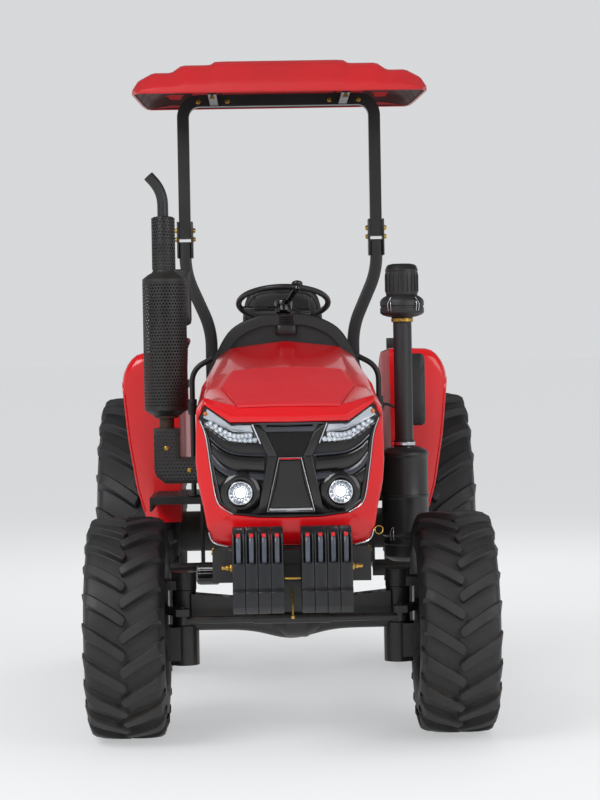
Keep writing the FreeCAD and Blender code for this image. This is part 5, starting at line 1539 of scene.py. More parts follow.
@dataclass
class Intake(Part):
    """Air cleaner canister, intake pipe and the bowl with its cap."""

    x: float = 508.0
    y: float = -360.0

    # Columns: height, radius
    canister = ((630, 0), (630, 62), (634, 70), (648, 90), (656, 92.5), (700, 92.5), (704, 95), (712, 95),
                (716, 92.5), (736, 92.5), (742, 102), (746, 104), (762, 104), (766, 101), (900, 101),
                (903, 104), (915, 104), (918, 101), (1080, 101), (1084, 104), (1098, 104), (1106, 98),
                (1120, 72), (1123, 60), (1123, 0))
    pipe = ((1123.3, 0), (1123.3, 46), (1150, 46), (1152, 40), (1660, 40), (1662, 45), (1682, 46), (1686, 66),
            (1692, 84), (1700, 94), (1704, 95), (1722, 95), (1724, 92), (1730, 92), (1732, 95), (1750, 95),
            (1758, 92), (1768, 82), (1775, 70), (1778, 66), (1780, 66))
    cap = ((1778, 60), (1779, 68), (1784, 69), (1880, 69), (1882, 71), (1888, 71), (1890, 69), (1901, 66), (1909, 58),
           (1913, 42), (1914, 0))

    def build(self) -> None:
        """Turns the bodies and adds clamps, clips and ribs."""
        middle = (self.x, self.y, 0)
        can = Shape().turn(self.canister, Axis.Z, middle, 56)
        can.tube([(118, self.y, 1066), (self.x, self.y, 1066)], 24, 24)
        can.block((164, self.y - 20, 820), (self.x - 94, self.y + 20, 850))
        self.add("air_canister", BLACK_PAINT, can, "air_cleaner", bevel=1.0, angle=40.0)
        tall = Shape().turn(self.pipe, Axis.Z, middle, 48).turn(self.cap, Axis.Z, middle, 48)
        self.add("intake_pipe", PLASTIC, tall, "intake_stack", angle=40.0)
        ribs = Shape()
        for angle in turns(20):
            along = np.array([math.cos(angle), math.sin(angle)])
            path = [(self.x + r * along[0], self.y + r * along[1], z) for r,
                    z in ((67, 1788), (70.5, 1796), (70.5, 1862), (66, 1884))]
            ribs.tube(path, 2.4, 6, up=(-along[1], along[0], 0.0))
        self.add("intake_ribs", PLASTIC, ribs)
        self._clamps()

    def _clamps(self) -> None:
        """Band clamps with their screws and the wire clips of the bowl and the canister's lid."""
        bright, brass = Shape(), Shape()
        for shape, z, radius in ((bright, 1136, 47.5), (brass, 1670, 47.5)):
            shape.turn([(z - 7, radius - 2), (z - 7, radius), (z + 7, radius), (z + 7, radius - 2)], Axis.Z,
                       (self.x, self.y, 0), 40, loop=True)
            shape.block((self.x - 12, self.y - radius - 9, z - 6), (self.x + 10, self.y - radius + 2, z + 6))
            shape.tube([(self.x - 22, self.y - radius - 5, z), (self.x + 14, self.y - radius - 5, z)], 3.4, 10)
        for radius, low, high in ((96, 1708, 1768), (104.5, 724, 786)):
            for angle in (-2.2, -0.9, 0.5, 2.0):
                along = (math.cos(angle), math.sin(angle))
                for turn in (-0.07, 0.07):
                    side = (math.cos(angle + turn), math.sin(angle + turn))
                    path = [(self.x + (radius + 2) * side[0], self.y + (radius + 2) * side[1], low),
                            (self.x + (radius + 6) * side[0], self.y + (radius + 6) * side[1], (low + high) / 2),
                            (self.x + (radius - 8) * along[0], self.y + (radius - 8) * along[1], high)]
                    bright.tube(curve_through(path, 10), 1.8, 6, up=(-along[1], along[0], 0.0))
        self.add("intake_clips", CHROME, bright)
        self.add("intake_band", ZINC, brass)


def about(profile: Points, origin: Points, axis: Points, steps: int = 32) -> Points:
    """A profile turned round any line: origin plus its place along the axis plus its radius round it.

    Args:
        profile: Pairs of the place along the axis and the radius.
        origin: Where the axis starts.
        axis: Its direction.
        steps: Points round it.

    Returns:
        The surface as a grid.
    """
    profile, axis = np.asarray(profile, float), np.asarray(axis, float)
    axis = axis / np.linalg.norm(axis)
    side = np.cross(axis, [0.3, 0.9, 0.1])
    side /= np.linalg.norm(side)
    other = np.cross(axis, side)
    angle = turns(steps)[:, None]
    around = side * np.cos(angle) + other * np.sin(angle)
    return np.asarray(origin) + profile[:, :1, None] * axis + profile[:, 1:, None] * around


@dataclass
class Cushion(Part):
    """A stuffed pad: a rounded slab that a cloth simulation swells, with its seams pressed in afterwards."""

    name: str
    node: str
    origin: tuple[float, float, float]
    lean: float
    half: tuple[float, float, float]
    taper: float
    cap: float
    seams: tuple[tuple[float, float, float], ...]
    voxel: float = 7.0
    pressure: float = 4.0
    frames: int = 14
    squareness: float = 0.42
    stitch: float = 6.0

    def local(self, points: Points) -> Points:
        """Points of the pad's own frame put in place: turned about X by the lean, then moved to the origin.

        Args:
            points: Points across, along and over the pad.

        Returns:
            The points in place.
        """
        turn = math.radians(self.lean)
        across, along, over = points[..., 0], points[..., 1], points[..., 2]
        return np.stack([across, along * math.cos(turn) - over * math.sin(turn),
                         along * math.sin(turn) + over * math.cos(turn)], -1) + np.array(self.origin)

    def slab(self) -> Points:
        """Rings from the underside's middle over the edge to the top's middle.

        A ring is a squared circle times the half sizes and the ring's share; the top is dished along its
        middle and stands up at both sides.

        Returns:
            The rings as a grid.
        """
        square = squared(72, self.squareness)
        # Columns: share of the half sizes, share of the thickness
        table = np.array([(0.0, -1.0), (0.5, -1.0), (0.9, -1.0), (0.97, -0.85), (1.0, -0.4), (1.0, 0.3), (0.965, 0.75),
                          (0.9, 1.0), (0.8, 1.04), (0.6, 0.98), (0.3, 0.94), (0.0, 0.92)])
        flat = table[:, :1, None] * square
        along = flat[..., 1] * self.half[1]
        across = flat[..., 0] * self.half[0] * (1 - self.taper * (flat[..., 1] * 0.5 + 0.5))
        side = np.clip(np.abs(flat[..., 0]) - 0.62, 0, 0.3) * 0.9
        over = self.half[2] * (table[:, 1:] + side * (table[:, 1:] > 0.8))
        return np.stack([across, along, over], -1)

    def build(self) -> None:
        """Makes the slab, swells it, presses in the seams and lays the piping round the top edge."""
        shape = Shape().grid(self.local(self.slab()), around=True)
        piece = self.add(self.name, VINYL, shape, self.node, angle=80.0)
        self._swell(piece)
        self._seams(piece)
        LOG.info("%s: %d faces after swelling", self.name, len(piece.data.polygons))
        edge = self.slab()[7] * np.array([1.012, 1.012, 1.0]) + np.array([0, 0, self.cap * 0.25])
        up = self.local(np.array([0.01, 0.02, 1.0])) - np.array(self.origin)
        self.add(self.name + "_piping", VINYL, Shape().tube(self.local(edge), 3.4, 8, up=tuple(up), ring=True))

    def _swell(self, piece: bpy.types.Object) -> None:
        """Voxel mesh, cloth with pressure and no gravity, and a cap on how far a point moves.

        Args:
            piece: The pad.
        """
        scene = bpy.context.scene
        mesh = piece.modifiers.new("voxels", "REMESH")
        mesh.mode, mesh.voxel_size, mesh.use_smooth_shade = "VOXEL", self.voxel * MM, True
        keep_shape(piece)
        start = self._read(piece.data)
        cloth = piece.modifiers.new("cloth", "CLOTH")
        cloth.settings.use_pressure, cloth.settings.uniform_pressure_force = True, self.pressure
        cloth.settings.effector_weights.gravity = 0.0
        cloth.settings.quality = 5
        cloth.point_cache.frame_start, cloth.point_cache.frame_end = 1, self.frames
        for frame in range(1, self.frames + 1):
            scene.frame_set(frame)
        keep_shape(piece)
        scene.frame_set(1)
        moved = self._read(piece.data) - start
        length = np.linalg.norm(moved, axis=1, keepdims=True)
        limit = self.cap * MM
        soft = limit * np.tanh(length / limit) / np.maximum(length, TINY)
        piece.data.vertices.foreach_set("co", (start + moved * soft).ravel())
        smooth = piece.modifiers.new("rounds", "SUBSURF")
        smooth.levels = smooth.render_levels = 1
        keep_shape(piece)

    @staticmethod
    def _read(mesh: bpy.types.Mesh) -> Points:
        """The mesh's points as rows.

        Args:
            mesh: The mesh.

        Returns:
            Its points in metres.
        """
        flat = np.zeros(len(mesh.vertices) * 3)
        mesh.vertices.foreach_get("co", flat)
        return flat.reshape(-1, 3)

    def _seams(self, piece: bpy.types.Object) -> None:
        """Presses sewn lines in: a point sinks by the seam's depth times a bell curve of its distance.

        Each row of the table is a line square to the across or along direction: which one, its place and depth.

        Args:
            piece: The pad.
        """
        turn = math.radians(self.lean)
        world = self._read(piece.data) / MM - np.array(self.origin)
        along = world[:, 1] * math.cos(turn) + world[:, 2] * math.sin(turn)
        over = -world[:, 1] * math.sin(turn) + world[:, 2] * math.cos(turn)
        across = world[:, 0]
        top = np.clip(over / self.half[2], 0, 1) ** 2
        for way, place, depth in self.seams:
            value = np.abs(across) if way == 0 else along
            inside = 1.0 if way == 0 else (np.abs(across) < self.half[0] * 0.6)
            over = over - depth * np.exp(-((value - place) / self.stitch) ** 2) * top * inside
        placed = self.local(np.stack([across, along, over], 1)) * MM
        piece.data.vertices.foreach_set("co", placed.ravel())
        piece.data.polygons.foreach_set("use_smooth", np.ones(len(piece.data.polygons), bool))
        piece.data.update()


@dataclass
class Seat(Part):
    """The driver's seat: pan, bellows over the suspension, and the two pads."""

    def build(self) -> None:
        """Makes the base, then the pads."""
        folds = []
        for number, z in enumerate(np.linspace(1040, 1178, 13)):
            inset = 0 if number % 2 else 12
            near, far, half = 522 + inset, 848 - inset, 148 - inset
            folds.append([(-half, near, z), (half, near, z), (half, far, z), (-half, far, z)])
        base = Shape().grid(np.array(folds, float), around=True, caps=True)
        base.block((-150, 520, 863), (150, 850, 1042))
        base.block((-120, 530, 1176), (120, 840, 1190))
        self.add("seat_bellows", PLASTIC, base, "seat_base", bevel=3.0)
        pan = Shape().push([(-205, 1250), (-208, 1266), (208, 1266), (205, 1250), (190, 1212), (150, 1186),
                            (-150, 1186), (-190, 1212)], Axis.Y, 444, 896)
        self.add("seat_pan", BLACK_PAINT, pan, bevel=5.0, steps=3)
        rails = Shape()
        rails.block((-172, 450, 1178), (-152, 880, 1192))
        rails.mirrored()
        rails.block((-240, 470, 1196), (-206, 484, 1204))
        self.add("seat_rails", STEEL, rails, bevel=2.0)
        Cushion("seat_squab", "seat_cushion", (0, 638, 1318), 2.0, (219, 190, 38), 0.04, 9.0,
                ((0, 140, 7), (1, -95, 5), (1, -20, 5), (1, 55, 5)), shop=self.shop).build()
        Cushion("seat_backrest", "seat_back", (0, 914, 1578), 99.6, (216, 286, 25), 0.1, 7.0,
                ((0, 138, 6), (1, -150, 5), (1, -70, 5), (1, 10, 5), (1, 90, 5), (1, 170, 5)),
                shop=self.shop).build()


@dataclass
class Steering(Part):
    """Steering wheel with its knob, and the column with its bellows."""

    body: str = "steering_wheel"
    centre: tuple[float, float, float] = (0.0, 240.0, 1765.0)
    tilt: float = 20.0
    radius: float = 205.0
    turned: float = 0.307
    grip: float = 13.2
    ridge: float = 0.7
    ridges: int = 32

    @property
    def up(self) -> Points:
        """The column's direction."""
        return np.array([0.0, math.sin(math.radians(self.tilt)), math.cos(math.radians(self.tilt))])

    def place(self, points: Points) -> Points:
        """Points of the wheel's own frame put in place.

        Args:
            points: Points across, backward and up along the column.

        Returns:
            The points in place.
        """
        points = np.asarray(points, float)
        back = np.array([0.0, self.up[2], -self.up[1]])
        return (np.array(self.centre) + points[..., :1] * np.array([1.0, 0, 0]) + points[..., 1:2] * back
                + points[..., 2:] * self.up)

    def build(self) -> None:
        """Makes rim, spokes, hub, knob and column."""
        up = self.up
        around = np.linspace(0, TURN, 193)[:-1, None]
        section = turns(14)[None]
        grip = self.grip + self.ridge * np.cos(around * self.ridges) * np.clip(-np.cos(section), 0, 1)
        away = self.radius + grip * np.cos(section)
        rim = np.stack([away * np.cos(around), away * np.sin(around), grip * np.sin(section)], -1)
        self.add("wheel_rim", PLASTIC, Shape().grid(self.place(rim), around=True, along=True), "steering_wheel")
        spokes = Shape()
        blade = [(-13, -3), (-10, 3.5), (10, 3.5), (13, -3)]
        path = np.array([(32, -16), (80, -15), (150, -8), (197, -1)], float)
        for number in range(3):
            angle = TURN * number / 3 - math.pi / 2 + self.turned
            line = np.stack([path[:, 0] * math.cos(angle), path[:, 0] * math.sin(angle), path[:, 1]], 1)
            spokes.tube(self.place(curve_through(line, 14)), 0, up=tuple(up + 0.01), section=blade)
        hub = [(-52, 0), (-52, 30), (-46, 36), (-20, 38), (-6, 41), (2, 41), (8, 36), (13, 24), (14.5, 0)]
        spokes.grid(about(hub, self.centre, up, 36), around=True)
        self.add("wheel_spokes", GLOSS_PLASTIC, spokes, bevel=1.2, angle=45.0)
        foot = self.place([self.radius * math.sin(self.turned), -self.radius * math.cos(self.turned), 0.0])
        dome = [(2, 0), (2, 17), (6, 22), (11, 25), (17, 26), (23, 23.5), (28, 15), (30, 0)]
        knob = Shape().grid(about(dome, foot, up, 24), around=True)
        knob.grid(about([(-14, 0), (-14, 17), (10, 17), (10, 0)], foot, up, 20), around=True)
        self.add("wheel_knob", GLOSS_PLASTIC, knob, bevel=1.0)
        folds = [(-232 + 5 * step, 69 - 2.1 * step - (5 if step % 2 else 0)) for step in range(15)]
        boot = [(-232, 0), *folds, (-160, 34), (-66, 34), (-62, 26), (-60, 12), (-53, 12), (-53, 0)]
        column = Shape().grid(about(boot, self.centre, up, 36), around=True)
        column.block((-29, 80.5, 1561), (29, 205, 1599))
        self.add("column_boot", PLASTIC, column, "steering_column", body="chassis", angle=50.0)


@dataclass
class Mirrors(Part):
    """Rear-view mirrors on their arms and the two side hoops with rubber sleeves."""

    hoop: tuple[float, float] = (413.0, -128.0)

    # Columns: side, middle across, low, high, half width
    heads = ((-1, -470.0, 1665.0, 1915.0, 60.0), (1, 564.0, 1205.0, 1525.0, 55.0))

    def build(self) -> None:
        """Makes hoops and sleeves, then each mirror's shell, glass and arm."""
        x, y = self.hoop
        hoops = Shape().tube(bent([(x, y, 911), (x, y, 1470), (322, y, 1518)], 60.0, 10), 12.0, 18,
                             up=(0.02, 1.0, 0.01))
        hoops.turn([(911, 12), (911, 26), (917, 26), (919, 14)], Axis.Z, (x, y, 0), 24)
        self.add("side_hoop_tubes", BLACK_PAINT, hoops.mirrored(), "side_hoops", angle=45.0)
        sleeves = Shape().turn([(1270, 12), (1271, 18), (1275, 20), (1290, 20), (1293, 18.6), (1317, 18.6), (1320, 20),
                                (1335, 20), (1339, 18), (1340, 12)], Axis.Z, (x, y, 0), 24)
        self.add("side_hoop_sleeves", PLASTIC, sleeves.mirrored())
        shells, glass, arms = Shape(), Shape(), Shape()
        for side, middle, low, high, half in self.heads:
            edge = np.array([(middle + a * half, z) for a, z in (
                (-0.7, low), (0.7, low), (0.94, low + 9), (1, low + 26), (1, high - 26), (0.94, high - 9), (0.7, high),
                (-0.7, high), (-0.94, high - 9), (-1, high - 26), (-1, low + 26), (-0.94, low + 9))])
            centre = (middle, (low + high) / 2)
            shells.grid(rings([(edge, 0, 0.0, y - 16), (edge, 0, 0.5, y - 15.5), (edge, 6, 0.94, y - 13),
                               (edge, 3, 1, y - 8), (edge, 0, 1, y + 2), (edge, 0, 1, y + 13),
                               (edge, 2, 1, y + 16), (edge, 6, 1, y + 16), (edge, 8, 1, y + 12),
                               (edge, 8, 0.0, y + 11)], centre, 64), around=True)
            glass.grid(rings([(edge, 7, 1, y + 11), (edge, 8, 1, y + 13.5), (edge, 9, 0.0, y + 14.5)], centre, 64),
                       around=True)
            arms.tube(bent([(side * (x + 20), y, 1300), (side * (x + 34), y, 1304), (middle, y, low + 44)], 8.0,
                           6), 6.0, 14, up=(0.02, 1.0, 0.01))
            arms.turn([(1288, 21.5), (1288, 25), (1312, 25), (1312, 21.5)], Axis.Z, (side * x, y, 0), 24)
        self.add("mirror_shells", PLASTIC, shells, "mirrors", angle=40.0)
        self.add("mirror_glass", MIRROR, glass)
        self.add("mirror_arms", BLACK_PAINT, arms)


@dataclass
class Cab(Part):
    """What the driver's hands and feet use: dials, levers and pedals."""

    def build(self) -> None:
        """Makes the dials on the cowl, the lever gate and the pedals."""
        rims, faces, hands = Shape(), Shape(), Shape()
        for x, z, radius in ((0, 1646, 42), (-108, 1610, 27), (108, 1610, 27), (-170, 1530, 20), (170, 1530, 20)):
            rims.turn([(80.4, radius - 5), (80.4, radius), (86, radius), (88, radius - 2), (87, radius - 5)], Axis.Y,
                      (x, 0, z), 40, loop=True)
            faces.turn([(81, radius - 4), (83, radius - 5), (83, 0)], Axis.Y, (x, 0, z), 40)
            hands.tube([(x, 84, z), (x - radius * 0.45, 84, z + radius * 0.45)], 1.2, 6)
        self.add("dial_rims", CHROME, rims)
        self.add("dial_faces", GLOSS_PLASTIC, faces)
        self.add("dial_hands", RIM, hands)
        self._levers()
        self._pedals()

    def _levers(self) -> None:
        """A gate by the right fender with three levers, each a leaning rod under a turned knob."""
        gate = Shape().block((-485, 379, 1381), (-447, 617, 1419))
        rods, knobs = Shape(), Shape()
        for number in range(3):
            y = 408.0 + number * 80
            gate.block((-476, y - 30, 1417), (-456, y + 16, 1421.5))
            foot, tip = np.array([-464, y, 1419.0]), np.array([-456, y - 30, 1584.0])
            rods.tube([foot, tip], 5.5, 12)
            knobs.grid(about([(-14, 0), (-14, 8), (-6, 9), (4, 14), (16, 17), (26, 15), (31, 8), (32, 0)], tip,
                             tip - foot, 24), around=True)
        self.add("lever_gate", PLASTIC, gate, "controls", bevel=3.0)
        self.add("lever_rods", STEEL, rods)
        self.add("lever_knobs", KNOB_RED, knobs)

    def _pedals(self) -> None:
        """Pedal arms with ribbed rubber pads."""
        arms, pads = Shape(), Shape()
        for x in (-250, -160, 160):
            arms.tube(curve_through([(x, 138, 1012), (x, 128, 1060), (x, 100, 1128)], 12), 8.0, 12)
            arms.block((x - 14, 80.5, 1112), (x + 14, 106, 1150))
            pads.block((x - 36, 140, 980), (x + 36, 147, 1042))
            for step in range(5):
                pads.block((x - 33, 146, 984 + step * 12), (x + 33, 152, 990 + step * 12))
        self.add("pedal_arms", BLACK_PAINT, arms, bevel=1.5)
        self.add("pedal_pads", RUBBER, pads, bevel=1.5)


@dataclass
class Running(Part):
    """Hubs, nuts, filters, lamps and the other small parts of the chassis and wheels."""

    def build(self) -> None:
        """Makes the parts group by group."""
        self._hubs()
        self._filter()
        self._tail_lamps()
        self._fasteners()
        self._hitch()

    def _hubs(self) -> None:
        """A turned hub cover and a ring of six-sided nuts on each wheel."""
        # Columns: word, centre x, y, z, face, bolt circle, nuts, cover radius, cover height
        table = (("front", 655.0, -1050.0, 445.0, 49.0, 72.0, 6, 54.0, 46.0),
                 ("rear", 700.0, 1000.0, 665.0, 39.0, 99.0, 8, 80.0, 52.0))
        washer, stud = ((0, 0), (0, 17), (2, 17), (3, 0)), ((0, 0), (0, 7.5), (17, 7.5), (18.5, 6), (18.5, 0))
        for word, x, y, z, face, bolted, count, hub, high in table:
            for side, name in ((1, "left"), (-1, "right")):
                nuts, cover = Shape(), Shape()
                base = x + face
                profile = [(base + 2, 0), (base + 2, hub + 5), (base + 6, hub + 5), (base + 8, hub),
                           (base + high * 0.6, hub * 0.9), (base + high * 0.7, hub * 0.62),
                           (base + high, hub * 0.56), (base + high + 3, hub * 0.46), (base + high + 3, 0)]
                cover.turn([(side * a, r) for a, r in profile], Axis.X, (0, y, z), 40)
                for angle in turns(count):
                    cy, cz = y - bolted * math.cos(angle), z - bolted * math.sin(angle)
                    nuts.push(polygon((cy, cz), 14), Axis.X, side * (base - 1), side * (base + 11))
                    for steps, line in ((16, washer), (12, stud)):
                        nuts.turn([(side * (base + out), radius) for out, radius in line], Axis.X, (0, cy, cz), steps)
                wheel = f"{word}_wheel_{name}"
                self.add(f"{word}_hub_{name}", BLACK_PAINT, cover, body=wheel, angle=40.0)
                self.add(f"{word}_nuts_{name}", ZINC, nuts, body=wheel, bevel=1.0)

    def _filter(self) -> None:
        """The oil filter: a turned can whose flutes are a cosine of the angle near its end."""
        place = np.array([-190, -191, -304, -306, -312, -330, -334, -386, -398, -405, -406], float)
        radius = np.array([0, 34, 34, 46, 50, 50, 48.5, 48.5, 45, 34, 0])
        angle = turns(72)
        flute = 1.2 * np.cos(angle * 18)[None] * ((place > -400) & (place < -331))[:, None]
        away = radius[:, None] + flute
        surface = np.stack([np.broadcast_to(place[:, None], away.shape), -260 + away * np.cos(angle),
                            578 + away * np.sin(angle)], -1)
        self.add("filter_can", GLOSS_PLASTIC, Shape().grid(surface, around=True), "oil_filter", angle=40.0)

    def _tail_lamps(self) -> None:
        """Tail lamps: a black housing with a red and an amber lens, ribbed across."""
        shell, red, amber = Shape(), Shape(), Shape()
        shell.block((520, 1151, 1534.5), (620, 1192, 1602))
        for low, high, lens in ((524, 584, red), (586, 617, amber)):
            lens.block((low, 1190, 1539), (high, 1197, 1598))
            for step in range(5):
                lens.block((low + 2, 1196, 1542 + step * 11.5), (high - 2, 1200, 1549 + step * 11.5))
        self.add("tail_housings", PLASTIC, shell.mirrored(), "tail_lamps", bevel=3.0)
        self.add("tail_red_lenses", LENS, red.mirrored(), bevel=1.5)
        self.add("tail_amber_lenses", AMBER, amber.mirrored(), bevel=1.5)

    def _fasteners(self) -> None:
        """Six-sided bolt heads with washers."""
        # Columns: axis, place, direction, radius
        table = []
        for side in SIDES:
            table += [(Axis.Y, (side * x, -1098, 548), -1, 9) for x in (80, 150)]
            table += [(Axis.X, (side * 302, y, 770), side, 10) for y in (-1400, -1300, -800)]
            table += [(Axis.X, (side * 166, y, 980), side, 9) for y in (-900, -700, -450)]
            table += [(Axis.X, (side * 191, y, z), side, 10) for y in (880, 960, 1040, 1120) for z in (820, 520)]
        shape = Shape()
        for axis, (x, y, z), way, radius in table:
            start, middle = (x, (y, z)) if axis is Axis.X else (y, (x, z))
            shape.push(polygon(middle, radius), axis, start - way * 2, start + way * radius * 0.75)
            shape.push(polygon(middle, radius * 1.5, 16), axis, start - way * 2, start + way * 2)
        self.add("bolts_chassis", ZINC, shape, bevel=0.8)

    def _hitch(self) -> None:
        """Quick couplers at the back of the lift housing and the drawbar's pin."""
        couplers = Shape()
        for x in (-120, -70, 70, 120):
            couplers.turn([(1208, 0), (1208, 17), (1222, 17), (1224, 20), (1236, 20), (1238, 16), (1250, 16),
                           (1252, 11), (1244, 10), (1244, 0)], Axis.Y, (x, 0, 968), 24)
        self.add("couplers", STEEL, couplers, angle=40.0)
        pin = Shape().turn([(325, 0), (325, 12), (332, 14.5), (382, 14.5), (384, 22), (392, 22), (394, 14),
                            (396, 0)], Axis.Z, (0, 1408, 0), 20)
        self.add("drawbar_pin", ZINC, pin, angle=40.0)


@dataclass
class Fender(Part):
    """Rear fenders: a pressed skin with a rolled edge over the wheel and its inner wall."""

    inside: float = 486.0
    outside: float = 770.0
    front: float = 400.0
    wall: float = 5.0

    # Columns: y, height of the skin's line from the front foot to the tail
    line = ((288, 764), (288, 1551), (1232, 1531), (1530, 1336), (1711, 1152))

    # Columns: how far the outer edge lies back of and below each corner of the line
    drop = ((20, 0), (20, 138), (-39, 138), (-88, 107), (-98, 97))

    # Columns: height on the front face, place of the outer edge
    edge = ((745, 640), (925, 690), (1150, 726), (1400, 750), (1470, 764), (1600, 770))

    # Columns: share of the way across, share of the drop at the outer edge
    across = ((0.0, 0.0), (0.01, 0.0), (0.35, 0.0), (0.6, 0.02), (0.7, 0.08), (0.78, 0.2), (0.86, 0.4), (0.93, 0.64),
              (0.97, 0.82), (0.985, 0.93), (1.0, 1.0))

    def surface(self) -> Points:
        """The skin's surface, a rounded line from foot to tail for every column.

        A column's corners are the line's corners moved towards the wheel by the column's share of the drop,
        and it lies at its share of the way from the inner wall to the outer edge.

        Returns:
            The surface as a grid.
        """
        heights, places = np.array(self.edge).T
        columns = []
        for share, sink in self.across:
            corners = [(0.0, y + sink * back, z - sink * down)
                       for (y, z), (back, down) in zip(self.line, self.drop)]
            path = np.linspace(corners[0], (0.0, corners[1][1], corners[1][2] - 70.0), 12)
            for number, radius in ((0, 62.0), (1, 200.0), (2, 150.0)):
                path = np.concatenate([path, bent(np.array(corners[number:number + 3]), radius, 12)[1:-1]])
            path = np.concatenate([path, [corners[-1]]])
            outer = np.where(path[:, 1] < self.front, np.interp(path[:, 2], heights, places), self.outside)
            path[:, 0] = self.inside + (outer - self.inside) * share
            columns.append(path)
        return np.stack(columns, 1)

    def build(self) -> None:
        """Makes skin, rolled edge and inner wall on both sides."""
        grid = self.surface()
        rim = grid[:, -1]
        skin = Shape().grid(grid).mirrored()
        self.add("fender_skins", RED, skin, "fender_left", "fender_right", wall=self.wall, outward=False, angle=40.0)
        bead = Shape().tube(rim[1:-1] + np.array([-5.0, 0, 0]), 7.0, 10, up=(1.0, 0.013, 0.017)).mirrored()
        self.add("fender_beads", RED, bead)
        path = grid[:, 0, 1:] + (grid[:, 0, 1:] - grid[:, 0, 1:].mean(0)) * -0.004
        low = np.array([(1640, 1012), (1430, 948), (1200, 902), (1000, 890), (700, 896), (560, 850), (408, 764)])
        wall = Shape().push(np.concatenate([path, low]), Axis.X, self.inside, self.inside + 5).mirrored()
        self.add("fender_walls", SATIN_RED, wall, bevel=1.0)


@dataclass
class RollBar(Part):
    """The posts of the roll bar: square tube with rounded bends, feet, hinge plates and hinge bolts."""

    x: float = 478.0
    y: float = 1190.0
    half: float = 30.0
    round: float = 9.0
    hinge: float = 2156.0
    foot: float = 763.3

    def build(self) -> None:
        """Makes both posts and their bolts."""
        corner = np.array([(1, 0), (0.92, 0.38), (0.71, 0.71), (0.38, 0.92), (0, 1)]) * self.round
        quarters = [corner @ np.array([[c, s], [-s, c]]) + (self.half - self.round) * np.array([c - s, s + c])
                    for c, s in ((1, 0), (0, 1), (-1, 0), (0, -1))]
        section = np.concatenate(quarters)
        line = bent([(355, self.y, self.foot), (355, self.y, 1660), (self.x, self.y, 1940),
                     (self.x, self.y, 2098)], 85.0, 10)
        posts = Shape().tube(line, 0, up=(0.0, 1.0, 0.0), section=section)
        self.add("roll_posts", BLACK_PAINT, posts.mirrored(), "rops_posts", angle=40.0)
        plates = Shape().block((295, 940, self.foot), (415, self.y + 30, self.foot + 20))
        plates.block((295, 1098.5, self.foot - 70), (415, self.y + 30, self.foot + 1))
        for side in SIDES:
            start = self.x + side * (self.half + 5) - 5
            plates.block((start, self.y - 42, 2018), (start + 10, self.y + 42, 2200))
        head = [(self.foot + rise, radius) for rise, radius in ((18, 0), (18, 15), (30, 15), (34, 11), (34, 0))]
        for y in (980, 1060):
            for x in (320, 390):
                plates.turn(head, Axis.Z, (x, y, 0), 6)
        self.add("roll_plates", BLACK_PAINT, plates.mirrored(), bevel=2.5)
        bolts = Shape()
        for z in (self.hinge, self.hinge - 44):
            for x, way in ((self.x - 40, -1), (self.x + 40, 1)):
                bolts.turn([(x, 0), (x, 15), (x + way * 3, 15), (x + way * 3, 11), (x + way * 11, 11),
                            (x + way * 13, 8), (x + way * 13, 0)][::way], Axis.X, (0, self.y, z), 12)
        pin = [(self.x - 48, 0), (self.x - 48, 12), (self.x + 48, 12), (self.x + 48, 0)]
        bolts.turn(pin, Axis.X, (0, self.y, self.hinge), 20)
        self.add("roll_bolts", ZINC, bolts.mirrored(), bevel=0.8)


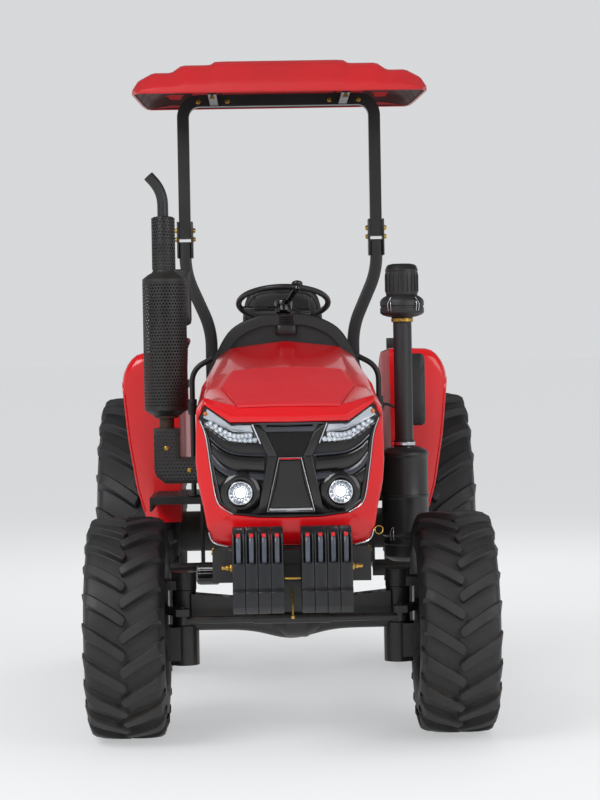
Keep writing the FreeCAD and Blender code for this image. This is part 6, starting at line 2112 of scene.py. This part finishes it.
@dataclass
class Deck(Part):
    """Steps and footrests with their mats, the dash's hood and boot, and the front axle's underside."""

    hood_half: float = 350.0
    hood_middle: float = 1300.0
    boot: tuple[float, float] = (8.0, -140.0)

    def build(self) -> None:
        """Makes hems, bars and mats on both sides, then the boot, the hood and the axle's underside."""
        hems = Shape()
        hems.block((380, 26, 526), (600, 32, 574)).block((594, 26, 536), (600, 270, 574))
        for y in np.arange(48.0, 262.0, 24.0):
            hems.block((392, y, 573), (588, y + 7, 579))
        self.add("step_hems", BLACK_PAINT, hems.mirrored(), bevel=1.5)
        mat = Shape().block((222, -138, 904), (596, 270, 909))
        for x in np.arange(232.0, 586.0, 15.0):
            mat.block((x, -130, 908), (x + 7, 262, 912))
        self.add("deck_mats", RUBBER, mat.mirrored(), bevel=1.2)
        self._boot()
        self._hood()
        self._belly()

    def _boot(self) -> None:
        """The boot on the dash: squared rings whose size goes in and out over its folds."""
        # Columns: height, half width, half depth
        rows = [(1617, 45, 49), (1620, 47.5, 51), (1655, 47.5, 51), (1659, 45, 49), (1661, 38, 45)]
        rows += [(1664 + 5.5 * step, 37 - 0.4 * step - (4 if step % 2 else 0), 49 - (6 if step % 2 else 0))
                 for step in range(8)] + [(1707, 29, 40)]
        across, along = squared(48, 0.4).T
        x, y = self.boot
        folds = np.array([np.stack([x + wide * across, y + deep * along, z + 0 * across], 1) for z, wide,
                          deep in rows])
        self.add("dash_boot", PLASTIC, Shape().grid(folds, around=True, caps=True), angle=50.0)

    def _hood(self) -> None:
        """A smooth hood over the cowl: its arch, a rounded line through the cowl's corners, drawn in at both ends."""
        half = np.array([(342, 1112), (346, 1290), (344, 1432), (305, 1536), (234, 1646), (112, 1704),
                         (0, 1706)], float)
        arch = curve_through(np.concatenate([half, half[::-1][1:] * np.array([-1.0, 1.0])]), 73)[::-1]
        middle = np.array([0.0, self.hood_middle])
        # Columns: place along Y, how far the arch is drawn in
        table = ((-178.6, 42), (-178.6, 9), (-177, 3.5), (-172, 0), (72, 0), (78, 3.5), (80.3, 9), (80.3, 24))
        rows = [((1 - inset / self.hood_half) * (arch - middle) + middle, y) for y, inset in table]
        surface = np.array([[(x, y, z) for x, z in row] for row, y in rows])
        self.add("cowl_hood", PLASTIC, Shape().grid(surface), wall=2.0, outward=False, angle=50.0)

    def _belly(self) -> None:
        """The front axle's rounded underside: an oval carried across, its height and depth swelling in the middle."""
        x = np.linspace(-440.0, 440.0, 61)[:, None]
        swell = np.exp(-(x / 125.0) ** 2)
        angle = turns(32)[None]
        y = -1050 + (38 + 20 * swell) * np.cos(angle)
        z = 455 + (28 + 38 * swell) * np.sin(angle)
        self.add("axle_belly", BLACK_PAINT,
                 Shape().grid(np.stack([x + 0 * y, y, z], -1), around=True, caps=True), angle=40.0)


NODE_FINISHES = {
    RED: ("bonnet", "fender_left", "fender_right"),
    CANOPY_RED: ("canopy",),
    BLACK_PAINT: ("front_frame", "front_axle", "weight_carrier", "rops_posts", "rops_hoop", "side_hoops",
                  "platform", "muffler", "exhaust_elbow", "air_cleaner", "intake_stack", "hitch_frame", "mirrors",
                  "knuckle_left", "knuckle_right", "tie_rod", "drawbar", "lift_arms"),
    WEIGHT_BLUE: ("front_weights",),
    CASTING: ("engine", "gearbox", "rear_axle", "front_drive_cover", "radiator"),
    PLASTIC: ("cowl", "steering_column", "controls", "oil_filter"),
    GLOSS_PLASTIC: ("grille", "steering_wheel"),
    CHROME: ("grille_trim", "fog_lamps", "headlamps"),
    RIM: ("front_rim_left", "front_rim_right", "rear_rim_left", "rear_rim_right"),
    VINYL: ("seat_base", "seat_cushion", "seat_back"),
    LENS: ("tail_lamps",),
    STEEL: ("lower_links", "lift_rods", "pto_shaft"),
}


def main() -> None:
    """Dresses the tractor piece by piece."""
    logging.basicConfig(level=logging.INFO, format="%(message)s")
    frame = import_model()
    shop = Shop(frame, Effects())
    Studio().build()
    for finish, nodes in NODE_FINISHES.items():
        for node in nodes:
            shop.paint(node, finish)
    for tyre in tyres(shop):
        tyre.build()
        LOG.info("built %s", tyre.name)
    for part in (Bonnet, Grille, Trim, Lamps, Weights, Canopy, Exhaust, Intake, Seat, Steering, Mirrors, Cab,
                 Running, Fender, RollBar, Deck):
        part(shop=shop).build()
        LOG.info("built %s", part.__name__.lower())


if __name__ == "__main__":
    main()
